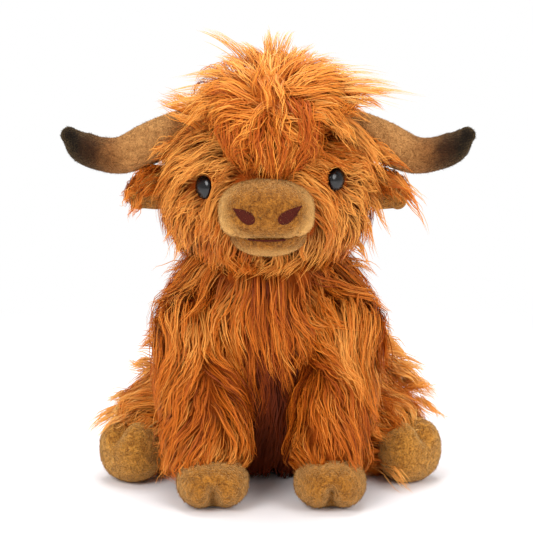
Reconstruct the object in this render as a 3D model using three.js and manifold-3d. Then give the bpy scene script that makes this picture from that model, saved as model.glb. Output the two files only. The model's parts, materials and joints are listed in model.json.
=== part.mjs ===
// Seated plush cow: long-haired covers over stuffing, with a pellet bag in the seat, velboa
// muzzle, horns and hooves, domed eyes on washers, and sewn ears, legs and tail.
// Millimetres, +Z up. The cow faces -Y and the origin is the middle of its seat, on the ground.
// Left and right are the cow's own, so its left is +X. A hair cover's wall is its lying pile.

import * as THREE from 'three';
import { mergeVertices } from 'three/addons/utils/BufferGeometryUtils.js';
import Module from 'manifold-3d';

const wasm = await Module();
wasm.setup();

// Fits
const seamGap = 0.3; // left between two pieces that touch
const swingGap = 0.5; // left between a limb and the pocket that it turns in
const floorCut = 0.5; // depth of the flats that the toy rests on
const overrun = 6; // how far a cut runs past what it opens
const pileWall = 11; // hair cover: backing cloth with its pile lying on it
const velboaWall = 1.8; // short-pile cloth of the horns
const backing = 2.4; // backing cloth alone, where the hair is parted

// Trunk
const trunkHeight = 158;
const trunkWidth = 150;
const trunkDepth = 130;
const seatDome = 8; // how far the seat bulges down
const neckDome = 18; // how far the top of the trunk bulges into the head
const neckForward = 34; // the neck's middle, in front of the seat's
const neckOpening = 44; // opening between the trunk's stuffing and the head's
// Rings from seat to neck, as shares: height, way forward, width, depth
const trunkShares = [
  [0, 0, 0.8, 0.8],
  [0.12, 0, 0.94, 0.94],
  [0.28, 0.06, 1, 1],
  [0.46, 0.24, 0.99, 0.98],
  [0.64, 0.52, 0.95, 0.92],
  [0.82, 0.82, 0.9, 0.84],
  [1, 1, 0.74, 0.7],
];

// Pellet bag in the seat
const pelletBagWidth = 70;
const pelletBagDepth = 72;
const pelletBagHeight = 30; // above the seat's cover

// Head
const headWidth = 134;
const headHeight = 110;
const headLength = 118;
const headDome = 17; // rounding at the back of the head and behind the muzzle
const headRise = 34; // its middle, above the trunk's top
const headBack = 17; // its back, behind the seat's middle
const headBoxiness = 2.5; // power of its rings' outline, where 2 is an oval
// Rings from back to front, as shares: length, drop in half heights, width, height
const headShares = [
  [0, 0, 0.6, 0.64],
  [0.16, 0, 0.86, 0.88],
  [0.36, 0, 0.98, 1],
  [0.58, 0.02, 1, 0.98],
  [0.8, 0.08, 0.88, 0.88],
  [1, 0.16, 0.6, 0.66],
];
const nodDepth = 30; // where the neck bends, below the trunk's top
const nodDown = 12; // degrees
const nodUp = 10;

// Muzzle and lower lip
const muzzleWidth = 57;
const muzzleHeight = 37;
const muzzleReach = 35; // in front of the head
const muzzleRoot = 12; // how far back into the head's hair it is sewn
const muzzleDome = 13;
const muzzleDrop = 4.5; // its middle, below the head's
// Rings from root to front, as shares: length, width, height
const muzzleShares = [
  [0, 0.9, 0.9],
  [0.4, 0.98, 0.98],
  [0.75, 1, 1],
  [1, 0.86, 0.84],
];
const lipWidth = 47;
const lipHeight = 18;
const lipLength = 40;
const lipSetback = 5; // behind the muzzle's front
const lipDrop = 18; // its middle, below the muzzle's

// Embroidery on the muzzle
const stitchDepth = 1; // how far the thread stands proud of its seat
const nostrilWidth = 13.5;
const nostrilHeight = 11;
const nostrilSpread = 28.5; // from one nostril's middle to the other's
const nostrilDrop = 0.5; // its middle, below the muzzle's
const mouthWidth = 25;
const mouthThread = 2;
const mouthRise = 1.2; // the mouth's ends, above its middle
const mouthDrop = 15.5; // below the muzzle's middle

// Eyes, each with a stem and a washer
const eyeDiameter = 15;
const eyeDome = 5;
const eyeRim = 1; // thickness of the dome's edge
const eyeStem = 3.2; // diameter
const eyeStemLength = 9;
const eyeYaw = 50; // degrees outwards from straight ahead
const eyeAimForward = 45; // where the two eyes' axes cross, in front of the seat's middle
const eyeAimAside = 2.2; // and to its left: neither eye sits quite like the other
const leftEyeRise = 9.7; // above the head's middle
const rightEyeRise = 5.3;
const washerDiameter = 17;
const washerThickness = 1.6;
const stemFit = 0.25; // washer's bore round the stem

// Horns
const hornInset = 25; // start of the horn's middle line, in from the head's side
const hornSpan = 263; // from tip to tip
const hornRise = 36; // its base, above the head's middle
const hornDip = 15.5; // lowest point of its middle line, below the base
const hornTipDrop = 2.5; // tip's middle, below the base
const hornForward = 34; // its root, in front of the seat's middle
const hornSweep = 9; // how far the tip comes forward of the root
const hornDiameter = 26.5;
const hornTipDiameter = 11;
// Stations from root to tip, as shares: way out, dip, sweep, thickness
const hornShares = [
  [0, -0.1, 0, 1],
  [0.18, 0.05, 0.02, 1],
  [0.38, 0.46, 0.1, 1],
  [0.6, 1, 0.3, 0.83],
  [0.78, 0.92, 0.62, 0.66],
  [0.91, 0.55, 0.86, 0.55],
  [1, 0, 1, 0],
];

// Topknot of long hair on the crown and forehead
const topknotWidth = 108;
const topknotThickness = 46;
const topknotRise = 32; // its highest point, above the head's top
const topknotBack = 4; // its back end, in front of the seat's middle
const topknotFront = 100; // its front end, in front of the seat's middle
const topknotBackRise = 40; // its back end, above the head's middle
const topknotFrontRise = 30;
const topknotDome = 12;
// Stations from back to front, as shares: way forward, rise, width, thickness
const topknotShares = [
  [0, 0, 0.62, 0.62],
  [0.26, 0.78, 0.92, 0.92],
  [0.52, 1, 1, 1],
  [0.8, 0.72, 0.84, 0.86],
  [1, 0, 0.5, 0.55],
];

// Ears: a hair back and a velboa lining
const earInset = 8; // its hinge line, in from the head's side
const earRise = 5; // above the head's middle
const earForward = 32;
const earLength = 38;
const earFall = 26; // degrees below level
const earForwardTurn = 8; // degrees towards the front
const earWidth = 31;
const earThickness = 13;
const earLiningThickness = 4.5;
const earFaceTilt = 32; // degrees that the lining faces down from straight ahead
const earDome = 6;
const earDrop = 18; // degrees
const earRaise = 6;
// Stations from root to tip, as shares: length, width, thickness
const earShares = [
  [0, 0.5, 0.8],
  [0.3, 0.86, 0.94],
  [0.62, 1, 1],
  [1, 0.5, 0.7],
];

// Front legs and hooves
const shoulderInset = 26; // in from the trunk's side
const shoulderDrop = 54; // below the trunk's top
const shoulderForward = 52;
const shoulderDiameter = 59;
const frontLegWidth = 58;
const frontLegDepth = 50;
const ankleHeight = 24;
const ankleForward = 92;
const frontLegSwing = 45; // degrees, forward and up
const frontHoofSpread = 73;
const frontHoofForward = 100;
const frontHoofWidth = 46;
const frontHoofLength = 46;
const frontHoofHeight = 31;
const frontToeForward = 9; // toe lobes' middles, in front of the hoof's
// Stations from shoulder to ankle, as shares: way down, way forward, width, depth
const frontLegShares = [
  [0, 0, 1, 1.1],
  [0.3, 0.2, 1, 1.06],
  [0.66, 0.62, 0.98, 1],
  [1, 1, 0.92, 0.94],
];

// Hind legs and hooves
const hipInset = 19; // in from the trunk's side
const hipHeight = 43;
const hipForward = 8;
const hipDiameter = 66;
const hindLegDiameter = 56;
const hockSpread = 160; // ankle to ankle
const hockForward = 36;
const hockHeight = 25;
const hindLegLift = 30; // degrees
const hindLegSplay = 42; // degrees that its hinge leans, so that it also swings outwards
const hindHoofAhead = 14; // hoof's middle, beyond the ankle along the leg
const hindHoofWidth = 42;
const hindHoofLength = 34;
const hindHoofHeight = 40;
const hindToeRise = 9; // toe lobes' middles, above the hoof's
// Stations from hip to ankle, as shares: length, girth between hip's and leg's
const hindLegShares = [
  [0, 0],
  [0.35, 0.25],
  [0.7, 0.8],
  [1, 1],
];

// Toe lobes of every hoof
const toeWidth = 25;
const toeLength = 33;
const toeHeight = 27;
const toeSpacing = 21;

// Tail
const tailHeight = 56;
const tailRootDiameter = 17;
const tailDiameter = 12;
const tailDrop = 27; // from its root down to its tuft
const tailReach = 21; // tuft's start, behind the root
const tailInset = 5; // root's middle, in from the trunk's back
const tailBendShare = 0.5; // where it bends, on the way down
const tailBackShare = 2 / 3; // how far back it has come there
const tailLift = 45; // degrees
const tuftDiameter = 27;
const tuftLength = 19;
const tuftLean = 4; // tuft's end, behind its start
// Stations down the tuft, as shares of its thickness
const tuftShares = [0.66, 1, 0.66];

// Heights and places worked out from the sizes above
const headMiddle = trunkHeight + headRise;
const headTop = headMiddle + headHeight / 2;
const headFront = headBack - headLength;
const muzzleMiddle = headMiddle - muzzleDrop;
const muzzleFront = headFront - muzzleReach;
const hornBase = headMiddle + hornRise;
const hornRoot = headWidth / 2 - hornInset;
const shoulderOut = trunkWidth / 2 - shoulderInset;
const shoulderHeight = trunkHeight - shoulderDrop;
const hipOut = trunkWidth / 2 - hipInset;

// Directions, and the cow's two sides with their signs on X
const across = new THREE.Vector3(1, 0, 0);
const back = new THREE.Vector3(0, 1, 0);
const up = new THREE.Vector3(0, 0, 1);
const sides = [['left', 1], ['right', -1]];

// Facets
const roundSides = 18;
const limbSides = 12;
const smallSides = 10;
const plainDomeRings = 2;
const eyeRings = 4;
const outlineSteps = 7; // in each curve of an embroidered outline

// Closed form of oval rings along a smooth spine, with a rounded end beyond each end ring.
// halves holds the two half sizes at each station, first along the direction of along.
// How it is made: grow swells it by that much all round, ends moves its two ends outwards by
// other lengths, and plain gives it fewer facets, drawn round the true form if it is a cutter.
function stuffedForm(form, how = {}) {
  const { spine, halves, domes, ringSides, rings, domeRings = 3, along = across, boxiness = 2 } = form;
  const { grow = 0, ends = [grow, grow], plain = false } = how;
  if (plain) {
    const fewerSides = 2 * Math.round(ringSides / 3);
    const swell = grow > 0 ? 1 / Math.cos(Math.PI / fewerSides) : 1;
    return stuffedForm({
      spine,
      halves: halves.map((pair) => pair.map((half) => half * swell)),
      domes,
      ringSides: fewerSides,
      rings: Math.round(rings / 2),
      domeRings: plainDomeRings,
      along,
      boxiness,
    }, { grow, ends });
  }
  const path = new THREE.CatmullRomCurve3(spine, false, 'catmullrom');
  const girths = halves.map(([wide, deep]) => new THREE.Vector3(wide, deep, 0));
  const girth = new THREE.CatmullRomCurve3(girths, false, 'catmullrom');
  const length = path.getLength();
  const positions = [];
  const addRing = (t, beyond, shrink) => {
    const tangent = path.getTangent(t);
    const centre = path.getPoint(t).addScaledVector(tangent, beyond);
    const wideWay = along.clone().addScaledVector(tangent, -along.dot(tangent)).normalize();
    const deepWay = new THREE.Vector3().crossVectors(tangent, wideWay);
    const half = girth.getPoint(t);
    for (let side = 0; side < ringSides; side += 1) {
      const angle = (2 * Math.PI * side) / ringSides;
      const [wide, deep] = [Math.cos(angle), Math.sin(angle)].map(
        (turn) => Math.sign(turn) * Math.abs(turn) ** (2 / boxiness));
      const point = centre.clone()
        .addScaledVector(wideWay, wide * (half.x + grow) * shrink)
        .addScaledVector(deepWay, deep * (half.y + grow) * shrink);
      positions.push(...point.toArray());
    }
  };
  const addPole = (t, beyond) => {
    positions.push(...path.getPoint(t).addScaledVector(path.getTangent(t), beyond).toArray());
  };
  addPole(0, -ends[0] - domes[0]);
  for (let ring = domeRings - 1; ring > 0; ring -= 1) {
    const lift = (ring / domeRings) * (Math.PI / 2);
    addRing(0, -ends[0] - domes[0] * Math.sin(lift), Math.cos(lift));
  }
  for (let ring = 0; ring <= rings; ring += 1) {
    const way = -ends[0] + ((length + ends[0] + ends[1]) * ring) / rings;
    const inside = THREE.MathUtils.clamp(way, 0, length);
    addRing(path.getUtoTmapping(inside / length), way - inside, 1);
  }
  for (let ring = 1; ring < domeRings; ring += 1) {
    const lift = (ring / domeRings) * (Math.PI / 2);
    addRing(1, ends[1] + domes[1] * Math.sin(lift), Math.cos(lift));
  }
  addPole(1, ends[1] + domes[1]);
  const rows = rings + 2 * domeRings - 1;
  const last = positions.length / 3 - 1;
  const index = [];
  for (let side = 0; side < ringSides; side += 1) {
    const next = (side + 1) % ringSides;
    index.push(0, 1 + next, 1 + side);
    for (let row = 0; row < rows - 1; row += 1) {
      const low = 1 + row * ringSides;
      const high = low + ringSides;
      index.push(low + side, low + next, high + next, low + side, high + next, high + side);
    }
    const end = last - ringSides;
    index.push(end + side, end + next, last);
  }
  const geometry = new THREE.BufferGeometry();
  geometry.setAttribute('position', new THREE.Float32BufferAttribute(positions, 3));
  geometry.setIndex(index);
  return geometry;
}

// Ball of three half sizes about a middle, turned about +Z by yaw degrees
function ovalForm(middle, halves, yaw = 0, ringSides = limbSides) {
  const ball = new THREE.SphereGeometry(1, ringSides, Math.round(ringSides / 2));
  return ball.rotateX(Math.PI / 2)
    .scale(...halves)
    .rotateZ(THREE.MathUtils.degToRad(yaw))
    .translate(...middle.toArray());
}

// Solid of a closed three.js geometry, turned the right way out
function solidOf(geometry) {
  const bare = geometry.clone();
  bare.deleteAttribute('normal');
  bare.deleteAttribute('uv');
  const merged = mergeVertices(bare);
  const triVerts = new Uint32Array(merged.index.array);
  const vertProperties = new Float32Array(merged.attributes.position.array);
  const corner = (at) => new THREE.Vector3().fromArray(vertProperties, 3 * triVerts[at]);
  let volume = 0;
  for (let at = 0; at < triVerts.length; at += 3) {
    volume += corner(at).dot(corner(at + 1).cross(corner(at + 2)));
  }
  if (volume < 0) triVerts.reverse();
  return new wasm.Manifold(new wasm.Mesh({ numProp: 3, vertProperties, triVerts }));
}

function cut(piece, ...tools) {
  return tools.flat(4).reduce((rest, tool) => rest.subtract(tool), piece);
}

function join(...pieces) {
  return pieces.flat(2).reduce((whole, piece) => whole.add(piece));
}

// The geometry turned about a joint's pivot, in degrees by the right-hand rule
function turned(geometry, joint, degrees) {
  const turn = new THREE.Matrix4().makeRotationAxis(joint.axis, THREE.MathUtils.degToRad(degrees));
  return geometry.clone()
    .translate(...joint.pivot.clone().negate().toArray())
    .applyMatrix4(turn)
    .translate(...joint.pivot.toArray());
}

// Solids of the geometry at even steps over the joint's range, for cutting its pocket
function swept(geometry, joint, steps) {
  const poses = [];
  for (let step = 0; step <= steps; step += 1) {
    const degrees = THREE.MathUtils.lerp(joint.from, joint.to, step / steps);
    poses.push(solidOf(turned(geometry, joint, degrees)));
  }
  return poses;
}

// Ball at a limb's root, its poles on the joint's axis so that it turns within itself
function rootBall(joint, radius) {
  const ball = new THREE.SphereGeometry(radius, limbSides, Math.round(limbSides / 2));
  const turn = new THREE.Quaternion().setFromUnitVectors(back, joint.axis);
  return solidOf(ball.applyQuaternion(turn).translate(...joint.pivot.toArray()));
}

// Room for that ball, drawn round it whatever way its facets turn
function rootRoom(joint, radius) {
  return rootBall(joint, (radius + swingGap) / Math.cos(Math.PI / limbSides) ** 2);
}

// The ground under the toy, as a tool for cutting the flats it rests on
const groundSize = 2 * hornSpan;
const ground = solidOf(new THREE.BoxGeometry(groundSize, groundSize, groundSize)
  .translate(0, 0, -groundSize / 2));

const gingerHair = new THREE.MeshStandardMaterial({ color: 0xb5591b, roughness: 0.85, metalness: 0 });
const goldenHair = new THREE.MeshStandardMaterial({ color: 0xd07c2e, roughness: 0.85, metalness: 0 });
const tanVelboa = new THREE.MeshStandardMaterial({ color: 0xa9794a, roughness: 0.9, metalness: 0 });
const darkThread = new THREE.MeshStandardMaterial({ color: 0x3a1a14, roughness: 0.7, metalness: 0 });
const blackPlastic = new THREE.MeshStandardMaterial({ color: 0x0c0a0a, roughness: 0.12, metalness: 0 });
const whiteStuffing = new THREE.MeshStandardMaterial({ color: 0xece8df, roughness: 1, metalness: 0 });
const bagCloth = new THREE.MeshStandardMaterial({ color: 0xcfc9ba, roughness: 0.95, metalness: 0 });
const clearNylon = new THREE.MeshStandardMaterial({ color: 0xd9d9d4, roughness: 0.5, metalness: 0 });

const cow = new THREE.Group();

// Adds one named piece with its finish to the cow
function addPiece(name, solid, finish) {
  const mesh = solid.getMesh();
  const geometry = new THREE.BufferGeometry();
  geometry.setAttribute('position', new THREE.BufferAttribute(mesh.vertProperties, mesh.numProp));
  geometry.setIndex(new THREE.BufferAttribute(mesh.triVerts, 1));
  geometry.computeVertexNormals();
  const piece = new THREE.Mesh(geometry, finish);
  piece.name = name;
  cow.add(piece);
}

// Trunk: rings from the seat up to the neck
function trunkForm(how) {
  const lowest = seatDome - floorCut;
  const highest = trunkHeight - neckDome;
  return stuffedForm({
    spine: trunkShares.map(([rise, forward]) => new THREE.Vector3(
      0, -neckForward * forward, THREE.MathUtils.lerp(lowest, highest, rise))),
    halves: trunkShares.map(([, , wide, deep]) => [(trunkWidth / 2) * wide, (trunkDepth / 2) * deep]),
    domes: [seatDome, neckDome],
    ringSides: roundSides,
    rings: 8,
  }, how);
}

// Head: rings from its back to behind the muzzle
function headForm(how) {
  const start = headBack - headDome;
  const run = headLength - 2 * headDome;
  return stuffedForm({
    spine: headShares.map(([way, drop]) => new THREE.Vector3(
      0, start - run * way, headMiddle - (headHeight / 2) * drop)),
    halves: headShares.map(([, , wide, high]) => [(headWidth / 2) * wide, (headHeight / 2) * high]),
    domes: [headDome, headDome],
    ringSides: roundSides,
    rings: 7,
    boxiness: headBoxiness,
  }, how);
}

const neck = {
  pivot: new THREE.Vector3(0, -neckForward, trunkHeight - nodDepth),
  axis: across,
  from: -nodUp,
  to: nodDown,
};

// Muzzle: rings from under the head's hair to its front
function muzzleForm(how) {
  const start = headFront + muzzleRoot;
  const run = muzzleReach + muzzleRoot - muzzleDome;
  return stuffedForm({
    spine: muzzleShares.map(([way]) => new THREE.Vector3(0, start - run * way, muzzleMiddle)),
    halves: muzzleShares.map(([, wide, high]) => [(muzzleWidth / 2) * wide, (muzzleHeight / 2) * high]),
    domes: [muzzleDome / 2, muzzleDome],
    ringSides: roundSides,
    rings: 5,
  }, how);
}

function lipForm(grow = 0) {
  const middle = new THREE.Vector3(0, muzzleFront + lipSetback + lipLength / 2, muzzleMiddle - lipDrop);
  return ovalForm(middle, [lipWidth, lipLength, lipHeight].map((size) => size / 2 + grow));
}

// An outline drawn as seen from the front, extruded back through the muzzle's front
function muzzlePrism(outline, x, z) {
  const way = { depth: muzzleReach, bevelEnabled: false, curveSegments: outlineSteps };
  const prism = new THREE.ExtrudeGeometry(outline, way).rotateX(Math.PI / 2);
  return solidOf(prism.translate(x, muzzleFront + muzzleReach - overrun, z));
}

// Nostril: a teardrop with its point outwards and up
function nostrilPrism(side) {
  const half = (side * nostrilWidth) / 2;
  const rise = nostrilHeight / 2;
  const outline = new THREE.Shape();
  outline.moveTo(half, rise);
  outline.quadraticCurveTo(half, -rise / 2, 0, -rise);
  outline.bezierCurveTo(-half, -rise, -half, rise / 2, -half / 2, rise / 2);
  outline.quadraticCurveTo(0, rise / 2, half, rise);
  return muzzlePrism(outline, (side * nostrilSpread) / 2, muzzleMiddle - nostrilDrop);
}

// Mouth: a shallow smiling band of thread
function mouthPrism() {
  const half = mouthWidth / 2;
  const band = mouthThread / 2;
  const outline = new THREE.Shape();
  outline.moveTo(-half, mouthRise - band);
  outline.quadraticCurveTo(0, -mouthRise - band, half, mouthRise - band);
  outline.lineTo(half, mouthRise + band);
  outline.quadraticCurveTo(0, -mouthRise + band, -half, mouthRise + band);
  return muzzlePrism(outline, 0, muzzleMiddle - mouthDrop);
}

// Turns a shape made along +Z so that it points along a direction, and moves it to a place
function aimed(geometry, direction, place) {
  const turn = new THREE.Quaternion().setFromUnitVectors(up, direction);
  return geometry.applyQuaternion(turn).translate(...place.toArray());
}

// Lathe of radius and height pairs, about a direction from a place
function latheSolid(outline, { direction, place }) {
  const points = outline.map(([radius, height]) => new THREE.Vector2(radius, height));
  return solidOf(aimed(new THREE.LatheGeometry(points, limbSides).rotateX(Math.PI / 2), direction, place));
}

// An eye's axis, and the point on it where the backing cloth's outside lies
function eyeSeat(side, rise) {
  const yaw = THREE.MathUtils.degToRad(eyeYaw);
  const direction = new THREE.Vector3(side * Math.sin(yaw), -Math.cos(yaw), 0);
  const origin = new THREE.Vector3(eyeAimAside, -eyeAimForward, headMiddle + rise);
  const stuffing = new THREE.Mesh(
    headForm({ grow: -pileWall, plain: true }), new THREE.MeshBasicMaterial({ side: THREE.DoubleSide }));
  const [hit] = new THREE.Raycaster(origin, direction).intersectObject(stuffing);
  return { direction, place: hit.point.clone().addScaledVector(direction, backing) };
}

// Eye: a dome with a thin rim, on a stem that runs in through the cover
function eyeSolid(seat, grow = 0) {
  const radius = eyeDiameter / 2 + grow;
  const stem = eyeStem / 2 + grow;
  const outline = [[0, -eyeStemLength - grow], [stem, -eyeStemLength - grow], [stem, -grow], [radius, -grow]];
  for (let step = 0; step < eyeRings; step += 1) {
    const lift = (step / eyeRings) * (Math.PI / 2);
    outline.push([radius * Math.cos(lift), eyeRim + (eyeDome - eyeRim + grow) * Math.sin(lift)]);
  }
  outline.push([0, eyeDome + grow]);
  return latheSolid(outline, seat);
}

// Room over the eye, where the hair is parted
function eyeParting(seat) {
  const radius = eyeDiameter / 2 + seamGap;
  const reach = pileWall + overrun;
  return latheSolid([[0, 0], [radius, 0], [radius + overrun, reach], [0, reach]], seat);
}

// Washer: a ring on the stem, behind the backing cloth
function washerSolid(seat, grow = 0) {
  const bore = eyeStem / 2 + stemFit - grow;
  const rim = washerDiameter / 2 + grow;
  const top = -backing - seamGap + grow;
  const bottom = -backing - seamGap - washerThickness - grow;
  return latheSolid([[bore, bottom], [rim, bottom], [rim, top], [bore, top], [bore, bottom]], seat);
}

// Horn: a round tapering form that dips and turns up to its tip
function hornForm(side, how) {
  const reach = (hornSpan - hornTipDiameter) / 2 - hornRoot;
  return stuffedForm({
    spine: hornShares.map(([way, dip, sweep]) => new THREE.Vector3(
      side * (hornRoot + reach * way),
      -hornForward - hornSweep * sweep,
      hornBase - hornTipDrop * way - (hornDip - hornTipDrop * way) * dip)),
    halves: hornShares.map(([, , , thick]) => {
      const radius = THREE.MathUtils.lerp(hornTipDiameter / 2, hornDiameter / 2, thick);
      return [radius, radius];
    }),
    domes: [hornTipDiameter / 2, hornTipDiameter / 2],
    ringSides: smallSides,
    rings: 12,
    along: back,
  }, how);
}

// Topknot: long hair from the back of the crown over to the forehead
function topknotForm(how) {
  const highest = headTop + topknotRise - topknotThickness / 2;
  const stations = topknotShares.map(([way, lift]) => {
    const low = headMiddle + THREE.MathUtils.lerp(topknotBackRise, topknotFrontRise, way);
    return new THREE.Vector3(
      0, -THREE.MathUtils.lerp(topknotBack, topknotFront, way), THREE.MathUtils.lerp(low, highest, lift));
  });
  return stuffedForm({
    spine: stations,
    halves: topknotShares.map(([, , wide, thick]) => [
      (topknotWidth / 2) * wide, (topknotThickness / 2) * thick]),
    domes: [topknotDome, topknotDome],
    ringSides: roundSides,
    rings: 8,
  }, how);
}

// Ear: a flat leaf out of the side of the head, hinged at its root
function earFrame(side) {
  const fall = THREE.MathUtils.degToRad(earFall);
  const turn = THREE.MathUtils.degToRad(earForwardTurn);
  const tilt = THREE.MathUtils.degToRad(earFaceTilt);
  const root = new THREE.Vector3(side * (headWidth / 2 - earInset), -earForward, headMiddle + earRise);
  const out = new THREE.Vector3(
    side * Math.cos(fall) * Math.cos(turn), -Math.cos(fall) * Math.sin(turn), -Math.sin(fall));
  const wide = new THREE.Vector3(0, -Math.sin(tilt), Math.cos(tilt));
  const face = new THREE.Vector3().crossVectors(out, wide).multiplyScalar(side).normalize();
  return { root, out, wide, face };
}

function earForm(side, how) {
  const { root, out, wide } = earFrame(side);
  return stuffedForm({
    spine: earShares.map(([way]) => root.clone().addScaledVector(out, (earLength - earDome) * way)),
    halves: earShares.map(([, width, thick]) => [(earWidth / 2) * width, (earThickness / 2) * thick]),
    domes: [earDome, earDome],
    ringSides: smallSides,
    rings: 6,
    along: wide,
  }, how);
}

// Everything on one side of the sheet between an ear's lining and its back
function earHalf(side, towardsFace) {
  const { root, face } = earFrame(side);
  const size = 2 * (earLength + earWidth);
  const sheet = earThickness / 2 - earLiningThickness;
  const shift = sheet + towardsFace * (seamGap / 2 + size / 2);
  const block = new THREE.BoxGeometry(size, size, size);
  return solidOf(aimed(block, face, root.clone().addScaledVector(face, shift)));
}

function earHinge(side) {
  return {
    pivot: earFrame(side).root,
    axis: back.clone().multiplyScalar(side),
    from: -earRaise,
    to: earDrop,
  };
}

// Front leg: from a round shoulder down and forward to its ankle
function frontLegForm(side, how) {
  return stuffedForm({
    spine: frontLegShares.map(([down, forward]) => new THREE.Vector3(
      side * THREE.MathUtils.lerp(shoulderOut, frontHoofSpread / 2, down),
      -THREE.MathUtils.lerp(shoulderForward, ankleForward, forward),
      THREE.MathUtils.lerp(shoulderHeight, ankleHeight, down))),
    halves: frontLegShares.map(([, , wide, deep]) => [
      (frontLegWidth / 2) * wide, (frontLegDepth / 2) * deep]),
    domes: [frontLegDepth / 4, ankleHeight / 2],
    ringSides: limbSides,
    rings: 7,
  }, how);
}

function shoulder(side) {
  return {
    pivot: new THREE.Vector3(side * shoulderOut, -shoulderForward, shoulderHeight),
    axis: across,
    from: -frontLegSwing,
    to: 0,
  };
}

// Hoof: a padded ball with two toe lobes side by side, shifted by toeShift from its middle
function hoofSolid(middle, halves, toeShift, yaw, grow) {
  const turn = THREE.MathUtils.degToRad(yaw);
  const wide = new THREE.Vector3(Math.cos(turn), Math.sin(turn), 0);
  const toe = [toeWidth, toeLength, toeHeight].map((size) => size / 2 + grow);
  const lobes = [-1, 1].map((lobe) => solidOf(ovalForm(
    middle.clone().add(toeShift).addScaledVector(wide, (lobe * toeSpacing) / 2), toe, yaw, smallSides)));
  return join(solidOf(ovalForm(middle, halves.map((half) => half + grow), yaw)), lobes);
}

function frontHoofSolid(side, grow = 0) {
  const middle = new THREE.Vector3(
    (side * frontHoofSpread) / 2, -frontHoofForward, frontHoofHeight / 2 - floorCut);
  const halves = [frontHoofWidth / 2, frontHoofLength / 2, frontHoofHeight / 2];
  const toeShift = new THREE.Vector3(0, -frontToeForward, (toeHeight - frontHoofHeight) / 2);
  return hoofSolid(middle, halves, toeShift, 0, grow);
}

// Hind leg: lies on the ground from the hip out to its ankle, its hoof's sole facing ahead
function hindLegWay(side) {
  const hip = new THREE.Vector3(side * hipOut, -hipForward, hipHeight);
  const ankle = new THREE.Vector3((side * hockSpread) / 2, -hockForward, hockHeight);
  const out = ankle.clone().sub(hip).setZ(0).normalize();
  return { hip, ankle, out, yaw: THREE.MathUtils.radToDeg(Math.atan2(out.x, -out.y)) };
}

function hindLegForm(side, how) {
  const { hip, ankle, out } = hindLegWay(side);
  return stuffedForm({
    spine: hindLegShares.map(([way]) => hip.clone().lerp(ankle, way)),
    halves: hindLegShares.map(([, slim]) => {
      const half = THREE.MathUtils.lerp(hipDiameter, hindLegDiameter, slim) / 2;
      return [half, half];
    }),
    domes: [hipDiameter / 4, hindHoofAhead],
    ringSides: limbSides,
    rings: 6,
    along: new THREE.Vector3().crossVectors(out, up),
  }, how);
}

function hipJoint(side) {
  const { hip, out } = hindLegWay(side);
  const splay = THREE.MathUtils.degToRad(-side * hindLegSplay);
  const axis = new THREE.Vector3().crossVectors(out, up).applyAxisAngle(out, splay);
  return { pivot: hip, axis, from: 0, to: hindLegLift };
}

function hindHoofSolid(side, grow = 0) {
  const { ankle, out, yaw } = hindLegWay(side);
  const middle = ankle.clone().addScaledVector(out, hindHoofAhead).setZ(hindHoofHeight / 2 - floorCut);
  const halves = [hindHoofWidth / 2, hindHoofLength / 2, hindHoofHeight / 2];
  return hoofSolid(middle, halves, new THREE.Vector3(0, 0, hindToeRise), yaw, grow);
}

// Tail: a cord of hair cloth out of the trunk's back, ending in a tuft
const tailRoot = new THREE.Vector3(0, trunkDepth / 2 - tailInset, tailHeight);
const tailJoint = { pivot: tailRoot, axis: across, from: 0, to: tailLift };
const tuftTop = tailRoot.clone().add(new THREE.Vector3(0, tailReach, -tailDrop));

function tailForm(how) {
  const bend = tailRoot.clone().lerp(tuftTop, tailBendShare);
  bend.y = THREE.MathUtils.lerp(tailRoot.y, tuftTop.y, tailBackShare);
  return stuffedForm({
    spine: [tailRoot, bend, tuftTop],
    halves: [tailRootDiameter, tailDiameter, tailDiameter].map((width) => [width / 2, width / 2]),
    domes: [tailRootDiameter / 2, tailDiameter / 2],
    ringSides: smallSides,
    rings: 5,
  }, how);
}

function tuftForm(how) {
  const foot = tuftTop.clone().add(new THREE.Vector3(0, tuftLean, -tuftLength));
  return stuffedForm({
    spine: tuftShares.map((share, at) => tuftTop.clone().lerp(foot, at / (tuftShares.length - 1))),
    halves: tuftShares.map((share) => [(tuftDiameter / 2) * share, (tuftDiameter / 2) * share]),
    domes: [tailDiameter / 2, tuftDiameter / 4],
    ringSides: smallSides,
    rings: 4,
  }, how);
}

// Pockets that limbs turn in, and the room that a seam needs, for cutting their neighbours
const shoulderPockets = sides.map(([, side]) => [
  rootRoom(shoulder(side), shoulderDiameter / 2),
  swept(frontLegForm(side, { grow: swingGap, plain: true }), shoulder(side), 2),
]);
const hipPockets = sides.map(([, side]) => [
  rootRoom(hipJoint(side), hipDiameter / 2),
  swept(hindLegForm(side, { grow: swingGap, plain: true }), hipJoint(side), 2),
]);
const earPockets = sides.map(([, side]) => (
  swept(earForm(side, { grow: 2 * swingGap, plain: true }), earHinge(side), 2)));
const tailPocket = swept(tailForm({ grow: swingGap + seamGap, plain: true }), tailJoint, 2);
const neckPocket = swept(trunkForm({ grow: swingGap }), { ...neck, from: -neck.to, to: -neck.from }, 2);
const headRoom = solidOf(headForm({ grow: seamGap }));
const muzzleRoom = solidOf(muzzleForm({ grow: seamGap }));
const hornRooms = sides.map(([, side]) => solidOf(hornForm(side, { grow: seamGap })));

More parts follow.
